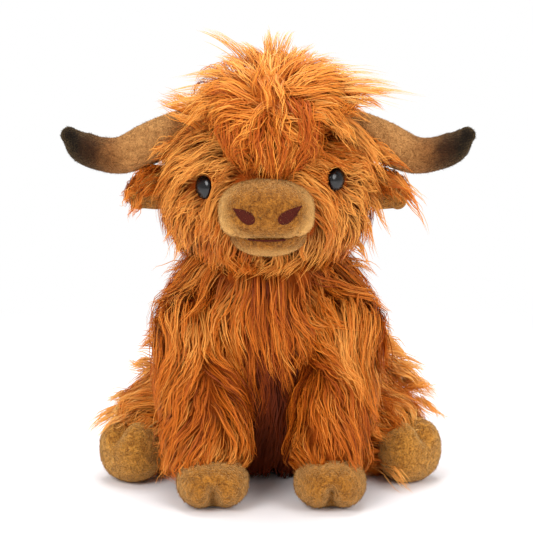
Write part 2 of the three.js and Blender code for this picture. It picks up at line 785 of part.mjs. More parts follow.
// Cover and stuffing of the trunk, with the pellet bag in its seat
function addTrunk() {
  const inside = solidOf(trunkForm({ grow: -pileWall - seamGap, plain: true }));
  const bagMiddle = new THREE.Vector3(0, 0, pileWall - floorCut);
  const bagHalves = [pelletBagWidth / 2, pelletBagDepth / 2, pelletBagHeight];
  const bagRoom = solidOf(ovalForm(bagMiddle, bagHalves.map((half) => half + seamGap)));
  const openingLength = neckDome + pileWall + overrun;
  const radius = neckOpening / 2;
  const opening = solidOf(new THREE.CylinderGeometry(radius, radius, openingLength, limbSides)
    .rotateX(Math.PI / 2)
    .translate(0, -neckForward, trunkHeight + overrun - openingLength / 2));
  const hollow = solidOf(trunkForm({ grow: -pileWall, plain: true }));
  const limbs = [shoulderPockets, hipPockets, tailPocket];
  addPiece('trunk_cover', cut(solidOf(trunkForm()), hollow, opening, ground, limbs), gingerHair);
  addPiece('trunk_stuffing', cut(inside, bagRoom, limbs), whiteStuffing);
  const bag = solidOf(ovalForm(bagMiddle, bagHalves)).intersect(inside);
  addPiece('pellet_bag', cut(bag, hipPockets), bagCloth);
}

// Cover and stuffing of the head, and the eyes on their washers
function addHead() {
  const seats = [eyeSeat(1, leftEyeRise), eyeSeat(-1, rightEyeRise)];
  const eyeRooms = seats.map((seat) => [eyeSolid(seat, seamGap), washerSolid(seat, seamGap)]).flat();
  const hollow = solidOf(headForm({ grow: -pileWall, plain: true }));
  const inside = solidOf(headForm({ grow: -pileWall - seamGap, plain: true }));
  const tools = [neckPocket, earPockets, eyeRooms];
  addPiece('head_cover', cut(solidOf(headForm()), hollow, tools, seats.map(eyeParting)), gingerHair);
  addPiece('head_stuffing', cut(inside, tools), whiteStuffing);
  seats.forEach((seat, at) => {
    addPiece(`eye_${sides[at][0]}`, eyeSolid(seat), blackPlastic);
    addPiece(`eye_washer_${sides[at][0]}`, washerSolid(seat), clearNylon);
  });
}

// Muzzle, lower lip, and the thread of the nostrils and the mouth, laid on them
function addMuzzle() {
  const lipRoom = solidOf(lipForm(seamGap));
  const proud = seamGap + stitchDepth;
  const overMuzzle = solidOf(muzzleForm({ grow: proud }));
  const muzzleSkin = cut(overMuzzle, muzzleRoom);
  const mouthSkin = cut(join(overMuzzle, solidOf(lipForm(proud))), muzzleRoom, lipRoom);
  addPiece('muzzle', cut(solidOf(muzzleForm()), headRoom), tanVelboa);
  addPiece('lower_lip', cut(solidOf(lipForm()), headRoom, muzzleRoom), tanVelboa);
  for (const [name, side] of sides) {
    addPiece(`nostril_${name}`, muzzleSkin.intersect(nostrilPrism(side)), darkThread);
  }
  addPiece('mouth_stitching', mouthSkin.intersect(mouthPrism()), darkThread);
}

// Horns, each a velboa cover over its stuffing, and the topknot between them
function addHornsAndTopknot() {
  for (const [name, side] of sides) {
    const hollow = solidOf(hornForm(side, { grow: -velboaWall, plain: true }));
    const inside = solidOf(hornForm(side, { grow: -velboaWall - seamGap, plain: true }));
    addPiece(`horn_${name}`, cut(solidOf(hornForm(side)), hollow, headRoom), tanVelboa);
    addPiece(`horn_stuffing_${name}`, cut(inside, headRoom), whiteStuffing);
  }
  addPiece('topknot', cut(solidOf(topknotForm()), headRoom, hornRooms), goldenHair);
}

// Ears, each a hair back sewn to a velboa lining
function addEars() {
  for (const [name, side] of sides) {
    const ear = solidOf(earForm(side));
    addPiece(`ear_back_${name}`, ear.intersect(earHalf(side, -1)), gingerHair);
    addPiece(`ear_lining_${name}`, ear.intersect(earHalf(side, 1)), tanVelboa);
  }
}

// A leg's cover, its stuffing and its hoof; the cover opens towards the trunk at its root
function addLeg(name, form, joint, diameter, hoof, hoofRoom) {
  const outside = join(solidOf(form()), rootBall(joint, diameter / 2));
  const inwards = new THREE.Vector3(-Math.sign(joint.pivot.x), 0, 0);
  const hollowed = (grow) => {
    const radius = diameter / 2 - backing + grow;
    const opening = latheSolid([[0, 0], [radius, 0], [radius, diameter], [0, diameter]],
      { direction: inwards, place: joint.pivot });
    return join(solidOf(form({ grow, plain: true })), opening);
  };
  const inside = hollowed(-pileWall - seamGap).intersect(outside);
  addPiece(`${name}_cover`, cut(outside, hollowed(-pileWall), hoofRoom, ground), gingerHair);
  addPiece(`${name}_stuffing`, cut(inside, hoofRoom), whiteStuffing);
  addPiece(`${name}_hoof`, cut(hoof, ground), tanVelboa);
}

function addLegs() {
  for (const [name, side] of sides) {
    addLeg(`front_leg_${name}`, (how) => frontLegForm(side, how), shoulder(side), shoulderDiameter,
      frontHoofSolid(side), frontHoofSolid(side, seamGap));
    addLeg(`hind_leg_${name}`, (how) => hindLegForm(side, how), hipJoint(side), hipDiameter,
      hindHoofSolid(side), hindHoofSolid(side, seamGap));
  }
}

function addTail() {
  addPiece('tail', solidOf(tailForm()), gingerHair);
  addPiece('tail_tuft', cut(solidOf(tuftForm()), solidOf(tailForm({ grow: seamGap })), ground), goldenHair);
}

addTrunk();
addHead();
addMuzzle();
addHornsAndTopknot();
addEars();
addLegs();
addTail();

export default cow;
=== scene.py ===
# A seated plush cow with long ginger hair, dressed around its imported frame.
# Metres, +Z up. The cow faces -Y, and left and right are its own, so its left is +X.

import json

import bpy
import numpy as np
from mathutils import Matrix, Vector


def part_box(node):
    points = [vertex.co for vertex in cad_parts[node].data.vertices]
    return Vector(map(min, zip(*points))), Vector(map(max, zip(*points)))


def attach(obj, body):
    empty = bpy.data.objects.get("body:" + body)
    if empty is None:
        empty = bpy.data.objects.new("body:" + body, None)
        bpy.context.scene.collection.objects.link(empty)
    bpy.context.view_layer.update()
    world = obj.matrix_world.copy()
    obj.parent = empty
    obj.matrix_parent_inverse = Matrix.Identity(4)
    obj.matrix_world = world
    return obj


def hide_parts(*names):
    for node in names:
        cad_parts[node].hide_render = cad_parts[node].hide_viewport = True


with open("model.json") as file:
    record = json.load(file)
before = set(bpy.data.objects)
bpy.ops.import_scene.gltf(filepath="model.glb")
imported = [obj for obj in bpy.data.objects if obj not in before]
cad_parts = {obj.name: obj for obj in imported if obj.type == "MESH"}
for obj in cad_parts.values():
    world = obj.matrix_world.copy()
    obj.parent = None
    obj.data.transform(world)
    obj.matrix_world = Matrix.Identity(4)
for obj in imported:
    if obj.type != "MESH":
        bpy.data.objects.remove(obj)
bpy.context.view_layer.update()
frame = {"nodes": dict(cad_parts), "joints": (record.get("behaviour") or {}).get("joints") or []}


# Trunk
# A bag of long-pile fur cloth, stuffed firm and wide at the seat. Its backing cloth is the
# skin here, and the pile grows out of it in locks that fan out from under the chin.

PILE = 0.011  # backing cloth with the hair lying on it, as thick as the frame's covers
BACKING = 0.0024
SKIN_DEPTH = BACKING - PILE  # from a cover's outside to its cloth
CENTRE_X_SHARE = 0.5

# Rings of the trunk from seat to neck, as shares of its cover's box: how far up, how far back,
# width and depth
TRUNK_RING_SHARES = [
    (0.047, 0.567, 0.80, 0.715),
    (0.148, 0.567, 0.94, 0.840),
    (0.282, 0.553, 1.00, 0.893),
    (0.433, 0.511, 0.99, 0.875),
    (0.584, 0.445, 0.95, 0.822),
    (0.735, 0.375, 0.90, 0.750),
    (0.886, 0.333, 0.74, 0.625),
]
SEAT_DOME = 0.008
NECK_DOME = 0.018
LOFTS = (0.005, 0.0125)  # least and most height of a lock's tip over the cloth
LENGTH_SHARES = (0.65, 1.15)  # the shortest and the longest lock
FLARE = 0.7  # the most that a lock of the trunk turns outwards, for each step along it
UNRULY_SHARE = 0.12  # of its locks
UNRULY = 0.7  # by which an unruly lock turns outwards more
TRUNK_LOCKS = 1320
TRUNK_LOCK_LENGTH = 0.043
COLLAR = np.array((0.0, -0.075, 0.168))  # where the hair of the chest fans out from
# middle of the painted shadow on the chest's hair under the chin
UNDER_CHIN = np.array((0.0, -0.08, 0.146))
CHEST_MIDDLE = 0.008  # how far aside the parting of the chest's hair runs
CHEST_BAND = 0.013  # half width of the thick hair along it
BELLY_TOP = 0.115  # height at which the shade between the front legs begins
SHOULDER_RADIUS = 0.0275  # of the front leg's form that the trunk's hair hangs over
HIP_RADIUS = 0.031  # the same for the hind leg
HIP_REACH = np.array((1.3, 1, 0.9))  # the hip's line runs from its joint to this multiple of it
HIP_FORWARD = np.array((0, 0.016, 0))
PILE_UP = (0.010, 0.019)  # a lock ends where it would be moved further than this
LOCK_FLOOR = 0.0015  # lowest height of a lock of the trunk
FRONT_TURN = 0.95  # radians from the front, where the hair of the sides begins
BACK_TURN = 2.1  # and where it ends


def corners(node):
    """The lowest and highest corner of a node's box, as arrays."""
    return tuple(np.array(corner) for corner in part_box(node))


def spot(node, across, back, up):
    """The point at these shares of a node's box."""
    low, high = corners(node)
    return low + (high - low) * np.array((across, back, up))


def unit(vectors):
    """Vectors at length 1."""
    return vectors / np.maximum(np.linalg.norm(vectors, axis=-1, keepdims=True), 1e-9)


def smooth(value, low, high):
    """0 below low and 1 above high, easing between."""
    t = np.clip((value - low) / (high - low), 0, 1)
    return t * t * (3 - 2 * t)


def bell(distance, reach):
    """1 at no distance, falling off over reach: e to the power of minus their ratio squared."""
    return np.exp(-((distance / reach) ** 2))


def length_of(vectors):
    """The length of each vector."""
    return np.linalg.norm(vectors, axis=-1)


def curve(points, t):
    """Smooth curve through points at t from 0 to 1: cubics whose slope at each point is half the
    step between its two neighbours."""
    points = np.asarray(points, float)
    row = np.vstack([2 * points[0] - points[1], points, 2 * points[-1] - points[-2]])
    place = np.clip(t, 0, 1) * (len(points) - 1)
    at = np.minimum(place.astype(int), len(points) - 2)
    w = (place - at)[..., None]
    a, b, c, d = (row[at + k] for k in range(4))
    return b + w / 2 * (c - a + w * (2 * a - 5 * b + 4 * c - d + w * (3 * b - a - 3 * c + d)))


class Form:
    """A stuffed form: ovals carried along a smooth spine, closed by a rounded end beyond each end
    ring. Its two parameters are v, from -1 at one pole through 0 and 1 at the end rings to 2 at
    the other pole, and the angle round the spine. Boxiness may differ between the two sides, and
    grow is added to the ovals' half sizes."""

    def __init__(self, spine, halves, domes, along=(1, 0, 0), boxiness=2.0, blunt=2.0, grow=0.0):
        self.spine = np.asarray(spine, float)
        self.halves = np.asarray(halves, float) + grow
        self.domes = np.asarray(domes, float)
        self.along = np.asarray(along, float)
        self.boxiness = np.broadcast_to(boxiness, 2)
        self.blunt = blunt

    def axis(self, v):
        """The spine's point and direction at v."""
        t = np.clip(v, 0, 1)
        nudge = 1e-3
        ahead = curve(self.spine, np.minimum(t + nudge, 1))
        behind = curve(self.spine, np.maximum(t - nudge, 0))
        return curve(self.spine, t), unit(ahead - behind)

    def point(self, v, angle):
        """Spine point, plus the dome's height times sin(lift) along it, plus the oval's half sizes
        times cos(lift) round it; past an end ring, lift turns a quarter circle."""
        v, angle = np.broadcast_arrays(np.asarray(v, float), np.asarray(angle, float))
        t = np.clip(v, 0, 1)
        lift = (v - t) * np.pi / 2
        centre, tangent = self.axis(v)
        dome = np.where(v < 0, self.domes[0], self.domes[1])
        rise = np.sign(lift) * np.abs(np.sin(lift)) ** (2 / self.blunt)
        shrink = np.abs(np.cos(lift)) ** (2 / self.blunt)
        wide = unit(self.along - tangent * (tangent @ self.along)[..., None])
        deep = np.cross(tangent, wide)
        half = curve(self.halves, t) * shrink[..., None]
        power = 2 / self.boxiness[(np.sin(angle) < 0).astype(int)]
        turns = [np.sign(f(angle)) * np.abs(f(angle)) ** power for f in (np.cos, np.sin)]
        return (centre + tangent * (dome * rise)[..., None]
                + wide * (half[..., 0] * turns[0])[..., None]
                + deep * (half[..., 1] * turns[1])[..., None])

    def slopes(self, v, angle):
        """How the point moves for each unit of v and of angle, by small steps."""
        nudge = 1e-3
        return ((self.point(v + nudge, angle) - self.point(v - nudge, angle)) / (2 * nudge),
                (self.point(v, angle + nudge) - self.point(v, angle - nudge)) / (2 * nudge))

    def normal(self, v, angle):
        """Outward direction: across both slopes, turned away from the spine."""
        along_v, round_it = self.slopes(v, angle)
        out = unit(np.cross(along_v, round_it))
        away = self.point(v, angle) - self.axis(v)[0]
        return out * np.where((out * away).sum(-1, keepdims=True) < 0, -1.0, 1.0)

    def scatter(self, count, rng, ends=(-1.0, 2.0), crowd=None):
        """Places spread evenly by area: a large draw of v and angle, thinned in proportion to the
        area that each stands for, times crowd(points) if given."""
        v = rng.uniform(*ends, 12 * count)
        angle = rng.uniform(0, 2 * np.pi, 12 * count)
        area = np.linalg.norm(np.cross(*self.slopes(v, angle)), axis=-1)
        if crowd is not None:
            area = area * crowd(self.point(v, angle))
        kept = rng.choice(len(v), count, replace=False, p=area / area.sum())
        return v[kept], angle[kept]


def mesh_of(name, points, faces):
    """A smooth-shaded mesh object from arrays of points and of triangles or quads."""
    points, faces = np.asarray(points, np.float32), np.asarray(faces, np.int32)
    mesh = bpy.data.meshes.new(name)
    mesh.vertices.add(len(points))
    mesh.vertices.foreach_set("co", points.ravel())
    mesh.loops.add(faces.size)
    mesh.loops.foreach_set("vertex_index", faces.ravel())
    mesh.polygons.add(len(faces))
    mesh.polygons.foreach_set("loop_start", np.arange(0, faces.size, faces.shape[1], dtype=np.int32))
    mesh.polygons.foreach_set("use_smooth", np.full(len(faces), True))
    mesh.update(calc_edges=True)
    piece = bpy.data.objects.new(name, mesh)
    bpy.context.scene.collection.objects.link(piece)
    return piece


def closed_skin(name, rows):
    """A closed surface from rows of points: rows[0] and rows[-1] are poles, each row a ring."""
    rows = np.asarray(rows)
    count, around = rows.shape[:2]
    points = np.vstack([rows[:1, 0], rows[1:-1].reshape(-1, 3), rows[-1:, 0]])
    side = np.arange(around)
    following = (side + 1) % around
    low = (1 + np.arange(count - 3) * around)[:, None]
    walls = np.stack([low + side, low + following, low + around + following, low + around + side], -1)
    last = 1 + (count - 3) * around
    foot = np.stack([np.zeros(around, int), 1 + following, 1 + side], -1)
    head = np.stack([last + side, last + following, np.full(around, len(points) - 1)], -1)
    walls = walls.reshape(-1, 4)
    triangles = np.vstack([foot, walls[:, [0, 1, 2]], walls[:, [0, 2, 3]], head])
    a, b, c = (points[triangles[:, k]] for k in range(3))
    if (a * np.cross(b, c)).sum() < 0:
        triangles = triangles[:, ::-1]
    return mesh_of(name, points, triangles)


def skin_of(name, form, rings=40, around=64, ends=14, relief=None):
    """The closed surface of a form, its rings closer together over the domes; relief, if given,
    moves each point along the normal by a length that it works out from the point."""
    v = np.concatenate([np.linspace(-1, 0, ends)[:-1], np.linspace(0, 1, rings),
                        np.linspace(1, 2, ends)[1:]])
    angle = np.linspace(0, 2 * np.pi, around, endpoint=False)
    v, angle = v[:, None], angle[None, :]
    rows = form.point(v, angle)
    if relief is not None:
        rows = rows + form.normal(v, angle) * relief(rows)[..., None]
    rows[0], rows[-1] = rows[0].mean(0), rows[-1].mean(0)
    return closed_skin(name, rows)


def swirl(points, size, seed):
    """Smooth wandering vectors, about 1 long: six sine waves of that size in random directions."""
    rng = np.random.default_rng(seed)
    waves = unit(rng.normal(size=(6, 3))) * (2 * np.pi / size) * rng.uniform(0.7, 1.3, (6, 1))
    ways = unit(rng.normal(size=(6, 3)))
    return np.sin(points @ waves.T + rng.uniform(0, 2 * np.pi, 6)) @ ways * 0.7


STATIONS = 7  # points along a lock and along each strand of it
FLOOR_GAP = 0.0004


def grow_locks(form, v, angle, way, length, loft, hold, flare):
    """Centre lines of locks. Each steps along way(points) laid into the skin, its height over the
    skin rising as the square root of the distance up to loft. It keeps to the skin wholly at the
    root and by hold at the tip, where it follows way freely, turned outwards by flare."""
    point = form.point(v, angle)
    root_normal = form.normal(v, angle)
    lines = [point]
    step = (length / (STATIONS - 1))[:, None]
    for station in range(1, STATIONS):
        s = station / (STATIONS - 1)
        normal = form.normal(v, angle)
        heading = unit(way(point))
        inward = (heading * normal).sum(-1, keepdims=True)
        flat = unit(heading - normal * inward)
        along_v, round_it = form.slopes(v, angle)
        v = v + (step * flat * along_v).sum(-1) / np.maximum((along_v ** 2).sum(-1), 1e-5)
        angle = angle + (step * flat * round_it).sum(-1) / np.maximum((round_it ** 2).sum(-1), 1e-5)
        v = np.clip(v, -0.98, 1.98)
        laid = form.point(v, angle) + form.normal(v, angle) * (loft * np.sqrt(s))[:, None]
        free = unit(heading - normal * np.minimum(inward, 0) + normal * flare[:, None])
        keep = 1 - (1 - hold) * s
        point = laid * keep + (point + free * step) * (1 - keep)
        lines.append(point)
    return np.stack(lines, 1), root_normal


TONES = 24  # columns of colour that strands are spread over
TONE_SCATTER = 0.12
STRAND_WIDTH = 0.00086
STRAND_WIDTHS = (0.7, 1.25)  # the thinnest and the thickest strand, as multiples of it
TAPER = 0.94  # the share of its width that a strand loses towards its tip
FLATNESS = 0.4  # a strand's thickness as a share of its width
ROLL = np.radians(25)
STRAND_REACH = (0.6, 1.0)  # how far along its lock a strand runs
STRAY_SHARE = 0.14  # of the strands, that stand apart from their lock
STRAY_SPREAD = 0.5  # by which they move out, as a share of their distance at the root
GATHER_RANGE = (0.75, 1.15)  # how much the other strands' gathering varies
GATHER_MOST = 0.97
LOCK_RADIUS = 0.0052
ARCH = (-0.0022, 0.0026)  # how far in or out a strand's middle stands
WAVE = 0.0017
WAVE_TURNS = (0.7, 1.7)  # of a lock's sine wave, along its length
OUT_OF_STEP = 0.7  # radians by which a strand's wave is ahead of its lock's or behind it
SHARP_ANGLE = np.radians(75)


def strand_faces(levels):
    """Triangles of one strand of that many three-cornered rings between two points, and the place
    of each corner: across from 0 to 1, and how many steps from the root."""
    faces, places = [], []
    top = 1 + (levels - 1) * 3
    for corner in range(3):
        after = (corner + 1) % 3
        faces.append((0, 1 + after, 1 + corner))
        places.append(((0.5, 0), (1, 1), (0, 1)))
        for level in range(levels - 1):
            low, high = 1 + level * 3, 4 + level * 3
            faces += [(low + corner, low + after, high + after),
                      (low + corner, high + after, high + corner)]
            left, right = ((0, level + 1), (0, level + 2)), ((1, level + 1), (1, level + 2))
            places += [(left[0], right[0], right[1]), (left[0], right[1], left[1])]
        faces.append((top + corner, top + after, 1 + levels * 3))
        places.append(((0, levels), (1, levels), (0.5, levels + 1)))
    return np.array(faces), np.array(places, float)


def hair(name, lines, normals, tones, rng, count=12, spread=LOCK_RADIUS, gather=0.8,
         width=STRAND_WIDTH, wave=WAVE, hollows=()):
    """Strands along lock lines: closed flat fibres, pointed at both ends, whose broad side faces
    out. A strand starts up to spread from its lock's root, comes closer by gather towards the tip
    unless it is a stray, and a slow sine wave bends it. It goes round any hollow, an ellipsoid
    given by its middle and half sizes. Its colour column is its tone, and v runs to the tip."""
    locks, stations = lines.shape[:2]
    total = locks * count
    owner = np.repeat(np.arange(locks), count)
    s = np.linspace(0, 1, stations)
    reach = rng.uniform(*STRAND_REACH, total)
    place = s[None] * reach[:, None] * (stations - 1)
    at = np.minimum(place.astype(int), stations - 2)
    part = (place - at)[..., None]
    path = lines[owner[:, None], at] * (1 - part) + lines[owner[:, None], at + 1] * part
    normal = normals[owner]
    lie = unit(lines[owner, 2] - lines[owner, 0])
    side = unit(np.cross(normal, lie))
    angle = rng.uniform(0, 2 * np.pi, total)
    radius = spread * np.sqrt(rng.uniform(0, 1, total))
    offset = (side * (np.cos(angle) * radius)[:, None]
              + np.cross(side, normal) * (np.sin(angle) * radius)[:, None])
    stray = rng.uniform(0, 1, total) < STRAY_SHARE
    drawn_in = np.where(stray, -STRAY_SPREAD, gather * rng.uniform(*GATHER_RANGE, total))
    close = 1 - np.minimum(drawn_in, GATHER_MOST)[:, None] * s[None] ** 0.8
    path = path + offset[:, None] * close[..., None]
    arch = normal * rng.uniform(*ARCH, total)[:, None]
    path = path + arch[:, None] * np.sin(np.pi * s)[None, :, None]
    turns = rng.uniform(*WAVE_TURNS, locks)[owner] * 2 * np.pi
    phase = rng.uniform(0, 2 * np.pi, locks)[owner] + rng.uniform(-OUT_OF_STEP, OUT_OF_STEP, total)
    bend = np.sin(turns[:, None] * s[None] + phase[:, None]) - np.sin(phase)[:, None]
    path = path + side[:, None] * (wave * bend * s[None] ** 0.7)[..., None]
    for middle, halves in hollows:
        local = (path - middle) / halves
        inside = np.linalg.norm(local, axis=-1, keepdims=True)
        path = middle + local / np.maximum(inside, 1e-3) * np.maximum(inside, 1) * halves
    tangent = unit(np.gradient(path, axis=1))
    across = unit(np.cross(tangent, normal[:, None] + side[:, None] * 0.01))
    up = np.cross(tangent, across)
    thick = width / 2 * rng.uniform(*STRAND_WIDTHS, total)[:, None] * (1 - s[None] ** 2.2 * TAPER)
    roll = rng.uniform(-ROLL, ROLL, total)[:, None, None]
    across, up = across * np.cos(roll) + up * np.sin(roll), up * np.cos(roll) - across * np.sin(roll)
    corners_turn = 2 * np.pi * np.arange(3)[:, None] / 3 + np.pi / 2
    corners_way = (across[:, :, None] * np.cos(corners_turn)
                   + up[:, :, None] * np.sin(corners_turn) * FLATNESS)
    rings = (path[:, :, None] + corners_way * thick[..., None, None])[:, 1:-1]
    points = np.concatenate([path[:, :1], rings.reshape(total, -1, 3), path[:, -1:]], 1)
    height = points[..., 2]
    points[..., 2] = np.where(height < FLOOR_GAP, FLOOR_GAP + 0.05 * (FLOOR_GAP - height), height)
    levels = stations - 2
    faces, places = strand_faces(levels)
    triangles = (faces[None] + (np.arange(total) * points.shape[1])[:, None, None]).reshape(-1, 3)
    piece = mesh_of(name, points.reshape(-1, 3), triangles)
    piece.data.set_sharp_from_angle(angle=SHARP_ANGLE)
    tone = np.clip(tones[owner] + rng.normal(0, TONE_SCATTER, total), 0, 0.999)
    column = np.floor(tone * TONES)
    u = (column[:, None, None] + 0.25 + 0.5 * places[None, ..., 0]) / TONES
    v = np.broadcast_to((places[..., 1] / (levels + 1))[None] * 0.98 + 0.01, u.shape)
    layer = piece.data.uv_layers.new(name="OFBake")
    layer.data.foreach_set("uv", np.stack([u, v], -1).astype(np.float32).ravel())
    return piece


class Wire:
    """A shader socket. The operators on it, with another wire or a plain number, add Math nodes."""

    def __init__(self, finish, socket):
        self.finish = finish
        self.socket = socket

    def output(self, name):
        """Another output of the same node."""
        return Wire(self.finish, self.socket.node.outputs[name])

    def maths(self, operation, first, second):
        """A Math node on two wires or numbers."""
        return self.finish.node("Math", {"operation": operation}, {0: first, 1: second})

    def __add__(self, other):
        return self.maths("ADD", self, other)

    def __sub__(self, other):
        return self.maths("SUBTRACT", self, other)

    def __rsub__(self, other):
        return self.maths("SUBTRACT", other, self)

    def __mul__(self, other):
        return self.maths("MULTIPLY", self, other)

    def __pow__(self, other):
        return self.maths("POWER", self, other)


class Finish:
    """A material of one Principled shader. Its even sockets are set as numbers at the start, and
    set() leads wires into the ones that vary."""

    def __init__(self, name, **even):
        self.material = bpy.data.materials.new(name)
        self.material.use_nodes = True
        self.tree = self.material.node_tree
        self.shader = self.tree.nodes["Principled BSDF"]
        for socket, value in even.items():
            self.shader.inputs[socket.replace("_", " ").title().replace("Ior", "IOR")].default_value = value

    def node(self, kind, settings=None, values=None):
        """Any shader node: its settings first, with a ramp's stops as position and colour pairs,
        then numbers, colours or wires into its sockets. Gives its first output."""
        node = self.tree.nodes.new("ShaderNode" + kind)
        for name, value in (settings or {}).items():
            if name == "stops":
                ramp = node.color_ramp.elements
                while len(ramp) < len(value):
                    ramp.new(1.0)
                for element, (position, colour) in zip(ramp, value):
                    element.position, element.color = position, colour
            else:
                setattr(node, name, value)
        for socket, value in (values or {}).items():
            self.join(value, node.inputs[socket])
        return Wire(self, node.outputs[0])

    def join(self, value, socket):
        """Leads a wire into a socket, or sets it to a number or colour."""
        if isinstance(value, Wire):
            self.tree.links.new(value.socket, socket)
        else:
            socket.default_value = value

    def mix(self, factor, first, second, blend="MIX"):
        """Two colours mixed by a factor."""
        node = self.tree.nodes.new("ShaderNodeMix")
        node.data_type = "RGBA"
        node.blend_type = blend
        for value, socket in ((factor, node.inputs[0]), (first, node.inputs[6]), (second, node.inputs[7])):
            self.join(value, socket)
        return Wire(self, node.outputs[2])

    def set(self, socket, value):
        """Leads a wire into one of the shader's sockets."""
        self.join(value, self.shader.inputs[socket])

    def colour(self):
        """The wire that leads into Base Color."""
        return Wire(self, self.shader.inputs["Base Color"].links[0].from_socket)

    def object_place(self):
        """Each point's place in metres."""
        return self.node("TexCoord").output("Object")

    def bump(self, height, depth):
        """Fine relief from a height wire from 0 to 1, that many metres deep."""
        self.set("Normal", self.node("Bump", {}, {"Height": height, "Distance": depth}))


def dye(red, green, blue):
    """A colour from its display values, 0 to 255, as the linear values that shaders take."""
    shown = np.array((red, green, blue)) / 255
    linear = np.where(shown <= 0.04045, shown / 12.92, ((shown + 0.055) / 1.055) ** 2.4)
    return (*linear.tolist(), 1.0)


def hair_finish(name, deep, mid, light, root):
    """Dyed pile: its tone column runs from deep through mid to light, and every strand darkens
    towards its root: partly darker dye, partly painted shade where light hardly reaches."""
    finish = Finish(name, roughness=0.5, specular_ior_level=0.14)
    uv = finish.node("UVMap", {"uv_map": "OFBake"})
    parts = finish.node("SeparateXYZ", {}, {0: uv})
    tone, way_up = parts.output("X"), parts.output("Y")
    stops = [(0.0, root), (0.2, deep), (0.55, mid), (1.0, light)]
    colour = finish.node("ValToRGB", {"stops": stops}, {0: tone})
    # painted shade towards each strand's root, partly darker dye
    finish.set("Base Color", finish.mix((1 - way_up) ** 1.8 * 0.75, colour, root))
    return finish.material


def cloth_finish(name, colour, shade):
    """Backing cloth seen between hairs: dark, partly as painted shade deep in the pile, with streaks down
    it where the pile is rooted.
    """
    finish = Finish(name, roughness=0.9, specular_ior_level=0.1)
    drawn_out = finish.node("Mapping", {}, {"Vector": finish.object_place(), "Scale": (1, 1, 0.25)})
    streaks = finish.node("TexNoise", {}, {"Vector": drawn_out, "Scale": 900.0, "Detail": 2.0})
    finish.set("Base Color", finish.mix(streaks, colour, shade))
    finish.bump(streaks, 0.0006)
    return finish.material


GINGER = hair_finish("ginger_pile", dye(160, 68, 6), dye(216, 114, 26), dye(248, 170, 78), dye(96, 32, 2))
GOLD = hair_finish("golden_pile", dye(206, 108, 26), dye(246, 160, 62), dye(253, 200, 116), dye(168, 72, 8))
# the backing's dark dye is partly painted shade of the pile's depths
GINGER_CLOTH = cloth_finish("ginger_backing", dye(172, 80, 18), dye(122, 48, 6))


def filling_finish():
    """Loose white fibre in clumps."""
    finish = Finish("fibre_filling", roughness=1.0, specular_ior_level=0.05)
    clumps = finish.node("TexNoise", {}, {"Vector": finish.object_place(), "Scale": 300.0,
                                          "Detail": 5.0, "Distortion": 2.0})
    finish.set("Base Color", finish.mix(clumps, dye(214, 208, 196), dye(246, 243, 236)))
    finish.bump(clumps, 0.001)
    return finish.material


FILLING = filling_finish()


def dress(piece, material, body, slot, *nodes):
    """Gives a piece its finish and body, and hides the nodes that it stands for; slot is not used."""
    piece.data.materials.append(material)
    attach(piece, body)
    if nodes:
        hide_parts(*nodes)
    return piece


def tufts(name, rows, material, body, slot, seed, each=2, tone=0.7):
    """Wisps that stand away from the pile, each from its start to its tip, slightly bowed. A row
    holds both points, given to the millimetre: across, back and up, twice over."""
    rng = np.random.default_rng(seed)
    ends = np.repeat(np.array(rows, float).reshape(-1, 2, 3), each, axis=0)
    ends = ends + rng.normal(0, 1, ends.shape) * np.array((0.0016, 0.002, 0.0012))
    start, tip = ends[:, :1], ends[:, 1:]
    s = np.linspace(0, 1, STATIONS)[None, :, None]
    span = np.linalg.norm(tip - start, axis=-1, keepdims=True)
    bow = (0, -0.08, 0.14) * span * rng.uniform(0.2, 1.2, (len(ends), 1, 1))
    lines = start + (tip - start) * s + bow * np.sin(np.pi * s)
    normals = np.broadcast_to(unit(np.array((0.0, -1.0, 0.4))), (len(ends), 3))
    piece = hair(name, lines, normals, tone + rng.normal(0, 0.1, len(ends)), rng, spread=0.0046,
                 gather=0.93, width=0.0007, wave=0.0014)
    return dress(piece, material, body, slot)


def filling_of(form, name, body, node, rings, around, ends):
    """The filling of a form: its skin, taken in by the thickness of the cloth."""
    form.halves, form.domes = form.halves - BACKING, form.domes - BACKING
    filling = skin_of(name, form, rings, around, ends)
    dress(filling, FILLING, body, "stuffing", node)
    form.halves, form.domes = form.halves + BACKING, form.domes + BACKING


low, high = corners("trunk_cover")
width, depth, height = high - low
trunk_form = Form(
    spine=[spot("trunk_cover", CENTRE_X_SHARE, back, up) for up, back, _, _ in TRUNK_RING_SHARES],
    halves=[(width * wide / 2, depth * deep / 2) for _, _, wide, deep in TRUNK_RING_SHARES],
    domes=(SEAT_DOME - BACKING, NECK_DOME), grow=SKIN_DEPTH)
trunk_skin = skin_of("trunk_cloth", trunk_form)
dress(trunk_skin, GINGER_CLOTH, "trunk", "ginger_hair", "trunk_cover")
filling_of(trunk_form, "trunk_filling", "trunk", "trunk_stuffing", rings=24, around=48, ends=8)


def chest_way(points):
    """Away from the collar and down, wandering with the swirls of brushed-up pile."""
    away = unit(points - COLLAR)
    shoulder = smooth(np.abs(points[:, :1]), 0.022, 0.045)
    return (away * (1.1, 0.6, 0.6) * (1 - 0.5 * shoulder) - (0, 0, 1) * (0.55 + 0.45 * shoulder)
            + swirl(points, 0.085, 3) * 0.45 + swirl(points, 0.03, 4) * 0.3)


def pivot(joint):
    """A joint's place in the frame."""
    return np.array(next(row["pos_m"] for row in frame["joints"] if row["name"] == joint), float)


def front_ankle(side):
    """Where a front leg ends in its hoof."""
    return np.array((side * 0.0365, -0.092, 0.024))


def drape(lines, start, end, radius):
    """Lays locks over a limb: points nearer than radius to the line from start to end move straight
    out to that distance. Says also which locks are rooted well outside the limb."""
    along = np.clip((lines - start) @ (end - start) / ((end - start) @ (end - start)), 0, 1)
    nearest = start + along[..., None] * (end - start)
    away = lines - nearest
    far = np.linalg.norm(away, axis=-1, keepdims=True)
    return nearest + away / np.maximum(far, 1e-6) * np.maximum(far, radius), far[:, 0, 0] > 0.85 * radius


